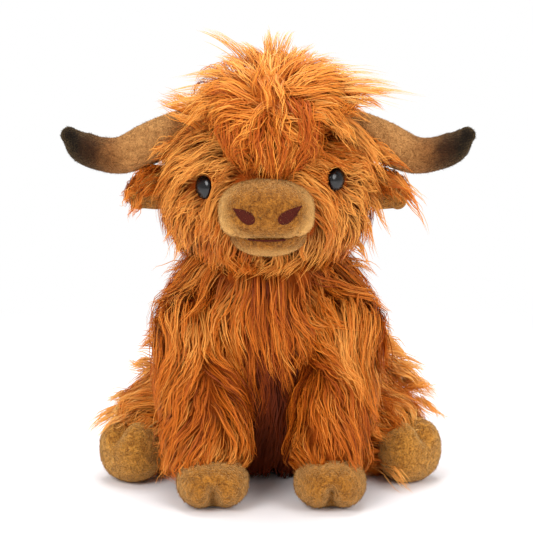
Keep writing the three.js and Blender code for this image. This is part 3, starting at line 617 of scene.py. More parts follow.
def drape_down(lines, start, end, radius):
    """Lays locks round an upright limb: points nearer than radius to the line from start down to
    end move out level to that distance; over its round top, to the level circle at their height."""
    below = (start[2] - lines[..., 2:]) / (start[2] - end[2])
    centre = start + np.clip(below, 0, 1) * (end - start)
    over = np.maximum(lines[..., 2:] - start[2], 0)
    circle = np.sqrt(np.maximum(radius ** 2 - over ** 2, 0))
    away = (lines - centre) * (1, 1, 0)
    far = np.linalg.norm(away, axis=-1, keepdims=True)
    moved = lines + away / np.maximum(far, 1e-6) * np.maximum(circle - far, 0)
    return moved, (far > 0.8 * circle)[:, 0, 0]


def cut_short(lines, inside, least=0.3):
    """Shortens each lock so that it ends just before its first station that is inside, and says
    which locks keep more than the least share of their length."""
    s = np.linspace(0, 1, lines.shape[1])
    first = np.where(inside.any(1), s[np.argmax(inside, 1)] - s[1] / 2, 1.0)
    place = np.maximum(first[:, None] * s[None] * (lines.shape[1] - 1), 0)
    at = np.minimum(place.astype(int), lines.shape[1] - 2)
    part = (place - at)[..., None]
    row = np.arange(len(lines))[:, None]
    return lines[row, at] * (1 - part) + lines[row, at + 1] * part, first > least


def chest_crowd(points):
    """How thick the hair is sewn: more down the middle of the chest, less at the back."""
    chest = bell(points[:, 0] - CHEST_MIDDLE, CHEST_BAND) * smooth(points[:, 2], 0.08, 0.1)
    return 1 + 1.3 * chest * (points[:, 1] < 0) - 0.2 * (points[:, 1] > 0.03)


def trunk_tones(roots, rng):
    """Lighter and darker patches, with the hair darkened as painted shade between the front legs and
    as a painted shadow under the chin, and lighter down the middle of the chest."""
    in_front = roots[:, 1] < 0
    tones = np.maximum(0.54 + 0.16 * swirl(roots, 0.05, 5)[:, 0] + rng.normal(0, 0.12, len(roots)), 0.2)
    # painted shade between the front legs, low down
    shade_between_legs = smooth(BELLY_TOP - roots[:, 2], 0, 0.05) * smooth(0.04 - np.abs(roots[:, 0]), 0, 0.03)
    tones -= 0.9 * shade_between_legs * in_front
    tones += 0.14 * bell(roots[:, 0] - CHEST_MIDDLE, 0.014) * smooth(roots[:, 2], 0.095, 0.115)
    # painted shadow under the chin
    tones -= 0.36 * bell(length_of((roots - UNDER_CHIN) * (1, 0, 1)), 0.011) * in_front
    return tones


SHOULDER_TUFTS = [
    (0.046, -0.030, 0.142, 0.073, -0.022, 0.132), (0.048, -0.040, 0.130, 0.075, -0.035, 0.119),
    (-0.046, -0.030, 0.138, -0.071, -0.022, 0.130), (-0.048, -0.040, 0.128, -0.075, -0.035, 0.118),
]
rng = np.random.default_rng(11)
v, angle = trunk_form.scatter(TRUNK_LOCKS, rng, ends=(-0.2, 1.5), crowd=chest_crowd)
roots = trunk_form.point(v, angle)
lines, normals = grow_locks(
    trunk_form, v, angle, chest_way, TRUNK_LOCK_LENGTH * rng.uniform(*LENGTH_SHARES, len(v)),
    loft=rng.uniform(*LOFTS, len(v)), hold=0.4,
    flare=rng.uniform(0.0, FLARE, len(v)) + UNRULY * (rng.uniform(0, 1, len(v)) < UNRULY_SHARE))
kept = np.ones(len(v), bool)
for name in ("left", "right"):
    shoulder, hip = pivot(f"front_leg_{name}_swing"), pivot(f"hind_leg_{name}_swing")
    side = 1 if name == "left" else -1
    draped, outside = drape_down(lines, shoulder, front_ankle(side), SHOULDER_RADIUS)
    piled = length_of(draped - lines) > rng.uniform(*PILE_UP, (len(v), 1))
    lines, long_enough = cut_short(draped, piled)
    kept &= outside & long_enough
    lines, outside = drape(lines, hip, hip * HIP_REACH - HIP_FORWARD, HIP_RADIUS)
    kept &= outside
lines[..., 2] = np.maximum(lines[..., 2], LOCK_FLOOR)
tones = trunk_tones(roots, rng)
turn = np.arctan2(roots[:, 0], -roots[:, 1] - 0.01)
for name, chosen in (("trunk_hair_front", np.abs(turn) < FRONT_TURN),
                     ("trunk_hair_left", (turn >= FRONT_TURN) & (turn < BACK_TURN)),
                     ("trunk_hair_right", (turn <= -FRONT_TURN) & (turn > -BACK_TURN)),
                     ("trunk_hair_back", np.abs(turn) >= BACK_TURN)):
    chosen = chosen & kept
    piece = hair(name, lines[chosen], normals[chosen], tones[chosen], rng)
    dress(piece, GINGER, "trunk", "ginger_hair")
tufts("shoulder_tufts", SHOULDER_TUFTS, GINGER, "trunk", "ginger_hair", 79, each=2)


# Hind legs
# Two stuffed legs lying on the ground, each sewn into the trunk's side at the hip. The hair
# sweeps out along the leg and hangs over the top of the hoof.

HIP_DIAMETER = 0.066
HIND_LEG_DIAMETER = 0.056
HIND_LEG_LOCKS = 270
HIND_LOCK_LENGTH = 0.036
HIP_WISPS = 90
HIND_ANKLE = (0.080, -0.036, 0.025)  # where a leg ends in its hoof, out from the middle
HIND_DOMES = (HIP_DIAMETER / 4 + SKIN_DEPTH, 0.014 + SKIN_DEPTH)
LEG_LOFTS = (0.004, 0.0115)
LEG_LOCK_FLOOR = 0.0012
LEG_UNRULY_SHARE = 0.125
# how far the painted shade round a recess reaches
RECESS_RADIUS = 0.015
HIND_TUFTS = {
    1: [(0.064, -0.012, 0.101, 0.083, -0.006, 0.087), (0.067, 0.000, 0.094, 0.087, 0.004, 0.079),
        (0.069, -0.015, 0.093, 0.090, -0.010, 0.078), (0.074, -0.016, 0.084, 0.097, -0.011, 0.067),
        (0.076, 0.000, 0.081, 0.098, 0.003, 0.066), (0.080, -0.016, 0.075, 0.104, -0.012, 0.058),
        (0.084, -0.020, 0.067, 0.108, -0.018, 0.052), (0.072, -0.010, 0.088, 0.092, -0.006, 0.074),
        (0.062, -0.004, 0.091, 0.082, 0.000, 0.078), (0.066, -0.008, 0.085, 0.088, -0.004, 0.070),
        (0.082, -0.010, 0.071, 0.109, -0.005, 0.062), (0.086, -0.015, 0.062, 0.113, -0.015, 0.046),
        (0.097, -0.030, 0.050, 0.117, -0.030, 0.035), (0.068, -0.014, 0.098, 0.085, -0.010, 0.082),
        (0.090, -0.020, 0.056, 0.112, -0.018, 0.052), (0.068, -0.041, 0.012, 0.091, -0.080, 0.003),
        (0.066, -0.014, 0.092, 0.082, -0.012, 0.066), (0.070, -0.014, 0.084, 0.088, -0.012, 0.058),
        (0.076, -0.016, 0.074, 0.094, -0.014, 0.050), (0.064, -0.010, 0.086, 0.080, -0.008, 0.060),
        (0.080, -0.014, 0.066, 0.102, -0.012, 0.050), (0.084, -0.014, 0.060, 0.106, -0.012, 0.043)],
    -1: [(-0.075, -0.010, 0.064, -0.095, -0.005, 0.066), (-0.077, -0.010, 0.070, -0.092, -0.005, 0.067),
         (-0.090, -0.020, 0.050, -0.106, -0.020, 0.043), (-0.092, -0.035, 0.045, -0.122, -0.030, 0.027),
         (-0.090, -0.030, 0.045, -0.118, -0.030, 0.034), (-0.088, -0.045, 0.044, -0.113, -0.045, 0.026)],
}
SIDES = (("left", 1), ("right", -1))


def hind_way(side):
    """A hind leg's hip and ankle, and the level direction from one to the other."""
    hip = pivot("hind_leg_left_swing" if side > 0 else "hind_leg_right_swing")
    ankle = np.array(HIND_ANKLE) * (side, 1, 1)
    return hip, ankle, unit((ankle - hip) * (1, 1, 0))


def leg_hair(name, form, way, count, length, seed, body, ends, flare=0.5, crowd=None, recess=None,
             tone=0.66, pile=GINGER):
    """Locks on a leg's form, laid along way, none lower than the floor. One in eight stands away,
    and the hair is darkened round a recess as painted shade."""
    rng = np.random.default_rng(seed)
    v, angle = form.scatter(count, rng, ends, crowd)
    roots = form.point(v, angle)
    lines, normals = grow_locks(
        form, v, angle, way, length * rng.uniform(*LENGTH_SHARES, count),
        loft=rng.uniform(*LEG_LOFTS, count), hold=0.45,
        flare=rng.uniform(0.0, flare, count) + UNRULY * (rng.uniform(0, 1, count) < LEG_UNRULY_SHARE))
    lines[..., 2] = np.maximum(lines[..., 2], LEG_LOCK_FLOOR)
    tones = tone + 0.15 * swirl(roots, 0.05, 5)[:, 0] + rng.normal(0, 0.1, count)
    # painted shade round the recess
    if recess is not None:
        tones -= 0.55 * bell(length_of((roots - recess) * (1, 0.3, 0.8)), RECESS_RADIUS)
    piece = hair(name, lines, normals, tones, rng)
    dress(piece, pile, body, "ginger_hair")


def limb_cloth(form, leg):
    """A leg's backing cloth, with its filling inside."""
    cloth = skin_of(f"{leg}_cloth", form, rings=24, around=48, ends=10)
    dress(cloth, GINGER_CLOTH, leg, "ginger_hair", f"{leg}_cover")
    filling_of(form, f"{leg}_filling", leg, f"{leg}_stuffing", rings=12, around=24, ends=5)


def on_top(points):
    """How thick the wisps stand: the more, the higher up the leg's side."""
    return 0.02 + smooth(points[:, 2], 0.044, 0.062) * (1 + smooth(points[:, 2], 0.066, 0.085))


for name, side in SIDES:
    leg = f"hind_leg_{name}"
    hip, ankle, run = hind_way(side)
    taper = HIP_DIAMETER / 2 + (HIND_LEG_DIAMETER - HIP_DIAMETER) / 2 * np.array((0, 0.25, 0.8, 1))
    hind_form = Form(spine=[hip + (ankle - hip) * share for share in (0, 0.35, 0.7, 1)],
                     halves=[(half, half) for half in taper],
                     domes=HIND_DOMES, along=np.cross(run, (0, 0, 1)), grow=SKIN_DEPTH)
    limb_cloth(hind_form, leg)
    leg_hair(f"{leg}_hair", hind_form,
             lambda p, run=run: (run * 0.85 + (0, 0, -0.35) * smooth(0.06 - p[:, 2:], 0, 0.03)
                                 + swirl(p, 0.06, 7) * 0.45),
             HIND_LEG_LOCKS, HIND_LOCK_LENGTH * (1.2 if side > 0 else 1.08), 21 + side, leg,
             ends=(-0.6, 1.3), flare=1.0)
    # The hip wisps and tufts take the lighter golden pile and higher tones: painted light where the strands
    # lie in shade.
    fall = (0, 0, -0.45 if side > 0 else 0.05)
    leg_hair(f"{leg}_wisps", hind_form,
             lambda p, run=run, fall=fall: run + fall + swirl(p, 0.05, 7) * 0.35,
             HIP_WISPS, HIND_LOCK_LENGTH * 1.15, 24 + side, leg, ends=(-0.9, 1.2), flare=0.7,
             crowd=on_top, tone=0.8, pile=GOLD)
    tufts(f"{leg}_tufts", HIND_TUFTS[side], GOLD, leg, "ginger_hair", 81 + side, each=3, tone=0.75)


# Front legs
# Two stuffed legs that hang from the shoulders down to hooves on the ground in front. Their
# hair falls straight down and ends over the hooves.

LEG_WIDTH = 0.058
LEG_DEPTH = 0.050
FRONT_LEG_LOCKS = 400
FRONT_LOCK_LENGTH = 0.040
FRONT_DOMES = (LEG_DEPTH / 2 + SKIN_DEPTH, 0.012 + SKIN_DEPTH)
FRONT_RECESS = (0.022, -0.08, 0.088)  # on a leg's inner side, where the hair lies in shade
FRONT_RING_SHARES = [  # way down, way forward, width, depth
    (0, 0, 1, 1.1),
    (0.3, 0.2, 1, 1.06),
    (0.66, 0.62, 0.98, 1),
    (1, 1, 0.92, 0.94),
]
FRONT_TUFTS = {
    1: [(0.056, -0.045, 0.118, 0.079, -0.035, 0.110), (0.060, -0.045, 0.104, 0.082, -0.035, 0.097),
        (0.064, -0.050, 0.088, 0.083, -0.040, 0.078), (0.062, -0.070, 0.045, 0.074, -0.062, 0.030)],
    -1: [(-0.056, -0.045, 0.119, -0.077, -0.035, 0.115), (-0.061, -0.045, 0.111, -0.079, -0.035, 0.101),
         (-0.067, -0.045, 0.101, -0.083, -0.035, 0.092), (-0.068, -0.050, 0.094, -0.086, -0.040, 0.086),
         (-0.058, -0.075, 0.035, -0.071, -0.070, 0.008), (-0.060, -0.080, 0.029, -0.066, -0.085, 0.016)],
}

for name, side in SIDES:
    leg = f"front_leg_{name}"
    shoulder = pivot(f"{leg}_swing")
    ankle = front_ankle(side)
    front_form = Form(
        spine=[shoulder + (ankle - shoulder) * (down, forward, down)
               for down, forward, _, _ in FRONT_RING_SHARES],
        halves=[(LEG_WIDTH / 2 * wide, LEG_DEPTH / 2 * deep) for _, _, wide, deep in FRONT_RING_SHARES],
        domes=FRONT_DOMES, grow=SKIN_DEPTH)
    limb_cloth(front_form, leg)
    leg_hair(f"{leg}_hair", front_form,
             lambda p, side=side, top=shoulder[2]: (
                 np.array((side * 0.12, -0.1, -1.0))
                 - (side * 0.1, 1.3, 0) * smooth(p[:, 2:], top - 0.006, top + 0.01)
                 + swirl(p, 0.07, 9) * 0.45 + swirl(p, 0.025, 8) * 0.25),
             FRONT_LEG_LOCKS, FRONT_LOCK_LENGTH, 31 + side, leg, ends=(-0.98, 1.45),
             recess=np.array(FRONT_RECESS) * (side, 1, 1))
    tufts(f"{leg}_tufts", FRONT_TUFTS[side], GINGER, leg, "ginger_hair", 85 + side, each=3)


# Hooves
# Tan velboa over a little stuffing, each pinched in by one stitch so that it parts into two toes.

HOOF_POWER = 2.3
FRONT_CLEFT_SHARE = 0.42  # depths of the clefts, of the distance from the hoof's middle
HIND_CLEFT_SHARE = 0.36
FRONT_HOOF_ASIDE = np.array((0.002, 0, 0))
HIND_HOOF_OUT = 0.014  # middle of a hind hoof, out from the ankle
HIND_HOOF_ASIDE = 0.0015
HIND_HOOF_HALVES = (0.0215, 0.0175)
HOOF_NAP = 0.0019
NAP_HALF = 0.00016  # from the middle of a spike's foot to each of its corners
NAP_SUNK = 0.0002


def ball(centre, halves, turn, relief, rings=46, around=62, power=HOOF_POWER):
    """A ball of three half sizes whose sections are superellipses, turned about +Z; relief works
    out how far each direction is pushed out, as a share of its distance, from the direction."""
    rise = np.linspace(-np.pi / 2, np.pi / 2, rings)[:, None]
    round_it = np.linspace(0, 2 * np.pi, around, endpoint=False)[None]
    way = np.stack([np.cos(rise) * np.cos(round_it), np.cos(rise) * np.sin(round_it),
                    np.sin(rise) + 0 * round_it], -1)
    size = (np.abs(way) ** power).sum(-1) ** (-1 / power) * (1 + relief(way))
    local = way * size[..., None] * np.array(halves)
    c, s = np.cos(turn), np.sin(turn)
    placed = np.stack([local[..., 0] * c - local[..., 1] * s,
                       local[..., 0] * s + local[..., 1] * c, local[..., 2]], -1)
    return placed + np.array(centre)


def velboa_finish(name, light, dark, sheen=1.0):
    """Short-pile cloth: its nap shows as fine grain, lighter where it is brushed up, and its pile
    catches light at grazing angles."""
    finish = Finish(name, roughness=0.85, specular_ior_level=0.15, sheen_weight=sheen, sheen_roughness=0.35,
                    sheen_tint=(1.0, 0.64, 0.27, 1))
    place = finish.object_place()
    grain = finish.node("TexNoise", {}, {"Vector": place, "Scale": 950.0, "Detail": 3.0,
                                         "Roughness": 0.65})
    brushed = finish.node("TexNoise", {}, {"Vector": place, "Scale": 210.0, "Detail": 3.0,
                                           "Distortion": 1.2})
    speckle = finish.node("MapRange", {}, {"Value": grain, "From Min": 0.36, "From Max": 0.64})
    patch = finish.node("MapRange", {}, {"Value": brushed, "From Min": 0.4, "From Max": 0.6})
    tone = speckle * 0.65 + patch * 0.42 - 0.02
    finish.set("Base Color", finish.mix(tone, dark, light))
    finish.bump(grain + brushed * 0.5, 0.0018)
    return finish


def nap(skin, count, length, way, seed):
    """Short pile on a skin of triangles: spikes spread evenly by area that lean along way(points),
    each a flat-sided thorn on a three-cornered foot."""
    rng = np.random.default_rng(seed)
    points = np.empty(len(skin.data.vertices) * 3)
    skin.data.vertices.foreach_get("co", points)
    corners_of = np.empty(len(skin.data.polygons) * 3, int)
    skin.data.polygons.foreach_get("vertices", corners_of)
    a, b, c = points.reshape(-1, 3)[corners_of.reshape(-1, 3).T]
    out = np.cross(b - a, c - a)
    area = np.linalg.norm(out, axis=1)
    pick = rng.choice(len(area), count, p=area / area.sum())
    s, t = rng.uniform(size=(2, count, 1))
    s, t = np.where(s + t > 1, 1 - s, s), np.where(s + t > 1, 1 - t, t)
    root = a[pick] + (b - a)[pick] * s + (c - a)[pick] * t
    out = unit(out[pick])
    lean = way(root)
    lean = unit(lean - out * (lean * out).sum(1, keepdims=True))
    ahead = unit(out * 0.55 + lean + rng.normal(0, 0.3, root.shape))
    across = unit(np.cross(ahead, out))
    up = np.cross(across, ahead)
    turn = 2 * np.pi * np.arange(3)[:, None] / 3
    foot = (root[:, None] - out[:, None] * NAP_SUNK
            + (across[:, None] * np.cos(turn) + up[:, None] * np.sin(turn)) * NAP_HALF)
    tip = root + ahead * length * rng.uniform(0.6, 1.2, (count, 1))
    spikes = np.concatenate([foot, tip[:, None]], 1)
    spikes = spikes[spikes[..., 2].min(1) > FLOOR_GAP]
    faces = np.array([(0, 1, 3), (1, 2, 3), (2, 0, 3), (0, 2, 1)])
    faces = (faces[None] + (np.arange(len(spikes)) * 4)[:, None, None]).reshape(-1, 3)
    return mesh_of(f"{skin.name}_nap", spikes.reshape(-1, 3), faces)


def front_pinch(way):
    """A cleft down the front and over the top: a bell across the hoof, a little off its middle."""
    front = smooth(-way[..., 1], 0.05, 0.7) * smooth(0.6 - way[..., 2], 0.0, 0.9)
    return -FRONT_CLEFT_SHARE * front * bell(way[..., 0] - 0.03, 0.2)


def hind_pinch(way):
    """A cleft in the upper half of the face, a bell across the hoof's middle."""
    face = smooth(-way[..., 1] + 0.8 * way[..., 2], 0.2, 0.9) * smooth(way[..., 2], 0.1, 0.65)
    return -HIND_CLEFT_SHARE * face * bell(way[..., 0], 0.22)


TAN = velboa_finish("tan_velboa", dye(206, 136, 50), dye(104, 52, 4)).material
# A lighter copy of the tan velboa for the hind hooves: painted light, so they look as bright as the front
# hooves though they lie in more shade.
SOLE_PAINTED_LIGHT = velboa_finish("sole_velboa_painted_light", dye(226, 158, 66), dye(122, 64, 8)).material

for name, side in SIDES:
    for leg in ("front_leg", "hind_leg"):
        node = f"{leg}_{name}_hoof"
        low, high = corners(node)
        if leg == "front_leg":
            velboa, pinch, turn = TAN, front_pinch, 0.0
            centre, halves = (low + high) / 2 + FRONT_HOOF_ASIDE, (high - low) / 2 * (0.97, 1, 1)
        else:
            velboa, pinch = SOLE_PAINTED_LIGHT, hind_pinch
            hip, ankle, out = hind_way(side)
            turn = np.arctan2(out[0], -out[1])
            aside = HIND_HOOF_ASIDE + side * HIND_HOOF_ASIDE
            centre = ankle * (1, 1, 0) + out * HIND_HOOF_OUT + (aside, 0, (low[2] + high[2]) / 2)
            halves = np.array((*HIND_HOOF_HALVES, (high[2] - low[2]) / 2))
        hoof = closed_skin(f"{leg}_{name}_velboa_hoof", ball(centre, halves, turn, pinch))
        dress(hoof, velboa, f"{leg}_{name}", "tan_velboa", node)
        pile = nap(hoof, 4000, HOOF_NAP, lambda p, c=centre: (p - c) * (1, 1, 0) - (0, 0, 0.03), 91 + side)
        dress(pile, velboa, f"{leg}_{name}", "tan_velboa")


# Tail
# A thin tube of the same fur cloth out of the back seam, with a tuft of longer hair at its end.

TAIL_LOCKS = 125
TAIL_LOCK_LENGTH = 0.020
TAIL_HALVES = (0.0055, 0.005, 0.009)  # at its root, in its middle and in the tuft
TAIL_DOME = 0.006
TUFT_RISE = 0.008
tail_top = pivot("tail_lift")
tuft_low, tuft_high = corners("tail_tuft")
tuft_foot = np.array((0.0, (tuft_low[1] + tuft_high[1]) / 2, tuft_low[2] + TUFT_RISE))
tail_form = Form(spine=[tail_top, tail_top + (tuft_foot - tail_top) * (1, 0.72, 0.5), tuft_foot],
                 halves=[(half, half) for half in TAIL_HALVES], domes=(TAIL_DOME, TAIL_DOME))
tail_cloth = skin_of("tail_cloth", tail_form, rings=24, around=24, ends=8)
dress(tail_cloth, GINGER_CLOTH, "tail", "ginger_hair", "tail", "tail_tuft")
leg_hair("tail_hair", tail_form, lambda p: np.array((0, 0.25, -1.0)) + swirl(p, 0.03, 12) * 0.4,
         TAIL_LOCKS, TAIL_LOCK_LENGTH, 41, "tail", ends=(-0.2, 1.9))


# Head
# A round stuffed head with a broad forehead. Its hair parts at a whorl on the crown, falls over
# the forehead as a forelock, and sweeps outwards and down over the cheeks.

HEAD_BOXINESS = 2.5
HEAD_DOME = 0.017
HEAD_LOCKS = 1085
HEAD_LOCK_LENGTH = 0.038
HEAD_RING_SHARES = [  # way from back to front, drop in half heights, width, height
    (0, 0, 0.60, 0.64),
    (0.16, 0, 0.86, 0.88),
    (0.36, 0, 0.98, 1.00),
    (0.58, 0.02, 1.00, 0.98),
    (0.80, 0.08, 0.88, 0.88),
    (1, 0.16, 0.60, 0.66),
]
HEAD_MIDDLE = 0.192
HEAD_HEIGHT = 0.110
HEAD_LENGTH_SHARES = (0.65, 1.1)
FACE_BACK = -0.062  # where the face's hair ends and that of the head's sides begins
EYE_YAW = np.radians(50)
EYE_DOME = 0.005
EYE_CLEARING = (0.0060, 0.0215, 0.0093)  # half sizes of the room kept free of hair at an eye
EYE_CLEARING_MIDDLE = np.array((0, -0.014, 0.0012))
MUZZLE_CLEARING = (0.031, 0.052, 0.0235)
MUZZLE_CLEARING_MIDDLE = (0, -0.135, 0.184)
NECK_MIDDLE = np.array((0, -0.034, 0.14))  # of the ellipsoid at the neck where no hair is rooted
NECK_HALVES = (0.05, 0.045, 0.022)
WHORL = np.array((0.002, -0.092, 0.251))
MUZZLE_MIDDLE = np.array((0.0, -0.112, 0.187))
HORN_FOOT = np.array((0.047, -0.034, 0.228))
HEAD_TUFTS = [
    (-0.051, -0.060, 0.179, -0.069, -0.050, 0.171), (-0.052, -0.060, 0.170, -0.067, -0.050, 0.158),
    (-0.051, -0.060, 0.166, -0.061, -0.050, 0.145), (-0.054, -0.055, 0.218, -0.068, -0.050, 0.203),
    (0.044, -0.078, 0.242, 0.080, -0.060, 0.202), (0.050, -0.076, 0.235, 0.078, -0.058, 0.193),
    (0.054, -0.072, 0.228, 0.074, -0.056, 0.190), (0.057, -0.060, 0.178, 0.070, -0.045, 0.146),
    (0.053, -0.060, 0.162, 0.065, -0.050, 0.139), (0.062, -0.055, 0.188, 0.077, -0.045, 0.161),
    (-0.056, -0.052, 0.222, -0.074, -0.048, 0.213), (-0.058, -0.046, 0.216, -0.078, -0.046, 0.211),
    (0.060, -0.050, 0.222, 0.084, -0.048, 0.212), (0.062, -0.044, 0.217, 0.080, -0.046, 0.209),
    (-0.058, -0.036, 0.217, -0.079, -0.040, 0.214), (0.058, -0.040, 0.219, 0.082, -0.042, 0.213),
    (0.060, -0.036, 0.216, 0.084, -0.040, 0.210), (0.038, -0.086, 0.241, 0.045, -0.091, 0.224),
    (0.043, -0.084, 0.239, 0.051, -0.088, 0.222),
]

low, high = corners("head_cover")
head_back, head_front, head_width = high[1] - HEAD_DOME, low[1] + HEAD_DOME, high[0] - low[0]
head_form = Form(
    spine=[(0, head_back + (head_front - head_back) * way, HEAD_MIDDLE - HEAD_HEIGHT / 2 * drop)
           for way, drop, _, _ in HEAD_RING_SHARES],
    halves=[(head_width / 2 * wide, HEAD_HEIGHT / 2 * tall) for _, _, wide, tall in HEAD_RING_SHARES],
    domes=(HEAD_DOME, HEAD_DOME), boxiness=HEAD_BOXINESS, grow=SKIN_DEPTH)
head_skin = skin_of("head_cloth", head_form, rings=40, around=72)
dress(head_skin, GINGER_CLOTH, "head", "ginger_hair", "head_cover")


def node_points(node):
    """A node's vertices, as an array."""
    points = np.empty(len(frame["nodes"][node].data.vertices) * 3)
    frame["nodes"][node].data.vertices.foreach_get("co", points)
    return points.reshape(-1, 3)


eyes = {}  # where each dome's foot is, and the way it faces
for name, side in SIDES:
    aim = np.array((side * np.sin(EYE_YAW), -np.cos(EYE_YAW), 0.0))
    points = node_points(f"eye_{name}")
    apex = points[np.argmax(points @ aim)]
    eyes[name] = (apex - aim * EYE_DOME, aim)


def face_way(points):
    """Out of the whorl and down; close to the muzzle, out from it as well."""
    from_whorl = unit(points - WHORL)
    from_muzzle = (points - MUZZLE_MIDDLE) * (1, 0.3, 1)
    near = bell(length_of(from_muzzle), 0.042)[:, None]
    way = from_whorl * (1.0, 0.5, 0.8) + (0, 0, -0.5) + unit(from_muzzle) * near * 1.1
    for place, aim in eyes.values():
        from_eye = points - place
        near = bell(length_of(from_eye), 0.013)[:, None]
        way = way + unit(from_eye - aim * (from_eye @ aim)[:, None]) * near * 1.6
    return way + swirl(points, 0.07, 14) * 0.4 + swirl(points, 0.026, 15) * 0.25


def keep_clear(lines, hollows):
    """Shortens each lock so that it ends where it enters any hollow, an ellipsoid given by its
    middle and its half sizes, and says which locks are still long enough to keep."""
    inside = np.zeros(lines.shape[:2], bool)
    for middle, halves in hollows:
        inside |= (((lines - middle) / halves) ** 2).sum(-1) < 1
    return cut_short(lines, inside)


face_hollows = [(np.array(MUZZLE_CLEARING_MIDDLE), np.array(MUZZLE_CLEARING))]
for place, aim in eyes.values():
    face_hollows.append((place + aim * 0.002 + EYE_CLEARING_MIDDLE, np.array(EYE_CLEARING)))
sewn_in = [place for place, aim in eyes.values()]
sewn_in += [HORN_FOOT, HORN_FOOT * (-1, 1, 1), pivot("ear_left_flap"), pivot("ear_right_flap")]


def head_crowd(points):
    """How thick the hair is sewn: more round the eyes, horns and ears, to close it up to them."""
    return 1 + 1.6 * sum(bell(length_of(points - place), 0.016) for place in sewn_in)


rng = np.random.default_rng(51)
v, angle = head_form.scatter(HEAD_LOCKS, rng, ends=(-0.9, 1.9), crowd=head_crowd)
roots = head_form.point(v, angle)
hidden = (((roots - NECK_MIDDLE) / NECK_HALVES) ** 2).sum(-1) < 1
v, angle, roots = v[~hidden], angle[~hidden], roots[~hidden]
span = HEAD_LOCK_LENGTH * rng.uniform(*HEAD_LENGTH_SHARES, len(v))
for place, aim in eyes.values():
    span *= 0.45 + 0.55 * smooth(length_of(roots - place), 0.009, 0.03)
span *= 1 + 0.4 * smooth(0.175 - roots[:, 2], 0, 0.02)
lines, normals = grow_locks(head_form, v, angle, face_way, span, loft=rng.uniform(*LOFTS, len(v)),
                            hold=0.4, flare=rng.uniform(0.0, 0.8, len(v)))
lines, kept = keep_clear(lines, face_hollows)
tones = 0.8 + 0.16 * swirl(roots, 0.05, 5)[:, 0] + rng.normal(0, 0.1, len(v))
for name, chosen in (("head_hair_face", roots[:, 1] < FACE_BACK),
                     ("head_hair_left", (roots[:, 1] >= FACE_BACK) & (roots[:, 0] > 0)),
                     ("head_hair_right", (roots[:, 1] >= FACE_BACK) & (roots[:, 0] <= 0))):
    chosen = chosen & kept
    piece = hair(name, lines[chosen], normals[chosen], tones[chosen], rng, hollows=face_hollows)
    dress(piece, GINGER, "head", "ginger_hair")
tufts("cheek_tufts", HEAD_TUFTS, GINGER, "head", "ginger_hair", 87, each=2, tone=0.85)


# Muzzle and lower lip
# Tan velboa, stuffed: a broad blunt muzzle sewn to the front of the head, with a lip under it
# that leaves a crease for the mouth.

MUZZLE_DOME = 0.020
MUZZLE_HEIGHT = 0.0345
MUZZLE_LEVEL = 0.1887
MUZZLE_ASIDE = -0.001
MUZZLE_SEAT = 0.012  # how far it starts from the front of the head's form
MUZZLE_RING_SHARES = [  # way from back to front, width, height
    (0, 0.88, 0.88),
    (0.4, 0.96, 0.97),
    (0.75, 1, 1),
    (1, 0.985, 0.97),
]
FOLD_DEPTH = 0.0019
FOLD_HALF = 0.0014
FACE_NAP = 0.0018
SHEEN_RIM_SCALE = (32.0, 42.0)  # one over the half width and half height at which the painted sheen at the rim is lightest
LIP_BACK = 0.0238  # middle of the lip, back from the front of its node
LIP_ASIDE = 0.0012
LIP_LEVEL = 0.1718
LIP_HALVES = np.array((0.0228, 0.020, 0.0122))
LIP_POWER = 2.1

low, high = corners("muzzle")
muzzle_width = high[0] - low[0]
muzzle_start = head_front - HEAD_DOME + MUZZLE_SEAT
muzzle_run = low[1] + MUZZLE_DOME - muzzle_start
muzzle_form = Form(
    spine=[(MUZZLE_ASIDE, muzzle_start + muzzle_run * way, MUZZLE_LEVEL)
           for way, _, _ in MUZZLE_RING_SHARES],
    halves=[(muzzle_width / 2 * wide, MUZZLE_HEIGHT / 2 * tall) for _, wide, tall in MUZZLE_RING_SHARES],
    domes=(MUZZLE_DOME / 2, MUZZLE_DOME), boxiness=(2.2, 3.7), blunt=2.6)


def muzzle_relief(points):
    """A soft fold slanting in to each corner of the mouth: a bell across the slant."""
    x, z = np.abs(points[..., 0] - MUZZLE_ASIDE), points[..., 2]
    fold = x - (0.0175 + 0.45 * (z - 0.1735))
    front = smooth(-points[..., 1], 0.112, 0.128)
    depth = -FOLD_DEPTH * bell(fold, FOLD_HALF) * smooth(0.183 - z, 0, 0.005) * front
    return depth * smooth(z, 0.1712, 0.1745)


muzzle = skin_of("velboa_muzzle", muzzle_form, rings=40, around=96, ends=26, relief=muzzle_relief)
face_finish = velboa_finish("face_velboa", dye(189, 122, 44), dye(104, 52, 5), sheen=0.65)
# Painted sheen: the colour lightens towards the muzzle's rim, most at the sides and bottom, where the pile
# would catch light at grazing angles.
middle = face_finish.node("VectorMath", {"operation": "MULTIPLY_ADD"}, {
    0: face_finish.object_place(), 1: (SHEEN_RIM_SCALE[0], 0.0, SHEEN_RIM_SCALE[1]),
    2: (-SHEEN_RIM_SCALE[0] * MUZZLE_ASIDE, 0.0, -SHEEN_RIM_SCALE[1] * (MUZZLE_LEVEL + 0.003))})
out = face_finish.node("VectorMath", {"operation": "LENGTH"}, {0: middle}).output("Value")
rim = face_finish.node("MapRange", {"interpolation_type": "SMOOTHSTEP"}, {
    "Value": out, "From Min": 0.64, "From Max": 1.0})
face_finish.set("Base Color", face_finish.mix(rim, face_finish.colour(), dye(238, 178, 100)))
FACE = face_finish.material
dress(muzzle, FACE, "head", "tan_velboa", "muzzle")
muzzle_nap = nap(muzzle, 6000, FACE_NAP, lambda p: (p - MUZZLE_MIDDLE) * (1, 0, 0.6) - (0, 0, 0.02), 97)
dress(muzzle_nap, FACE, "head", "tan_velboa")

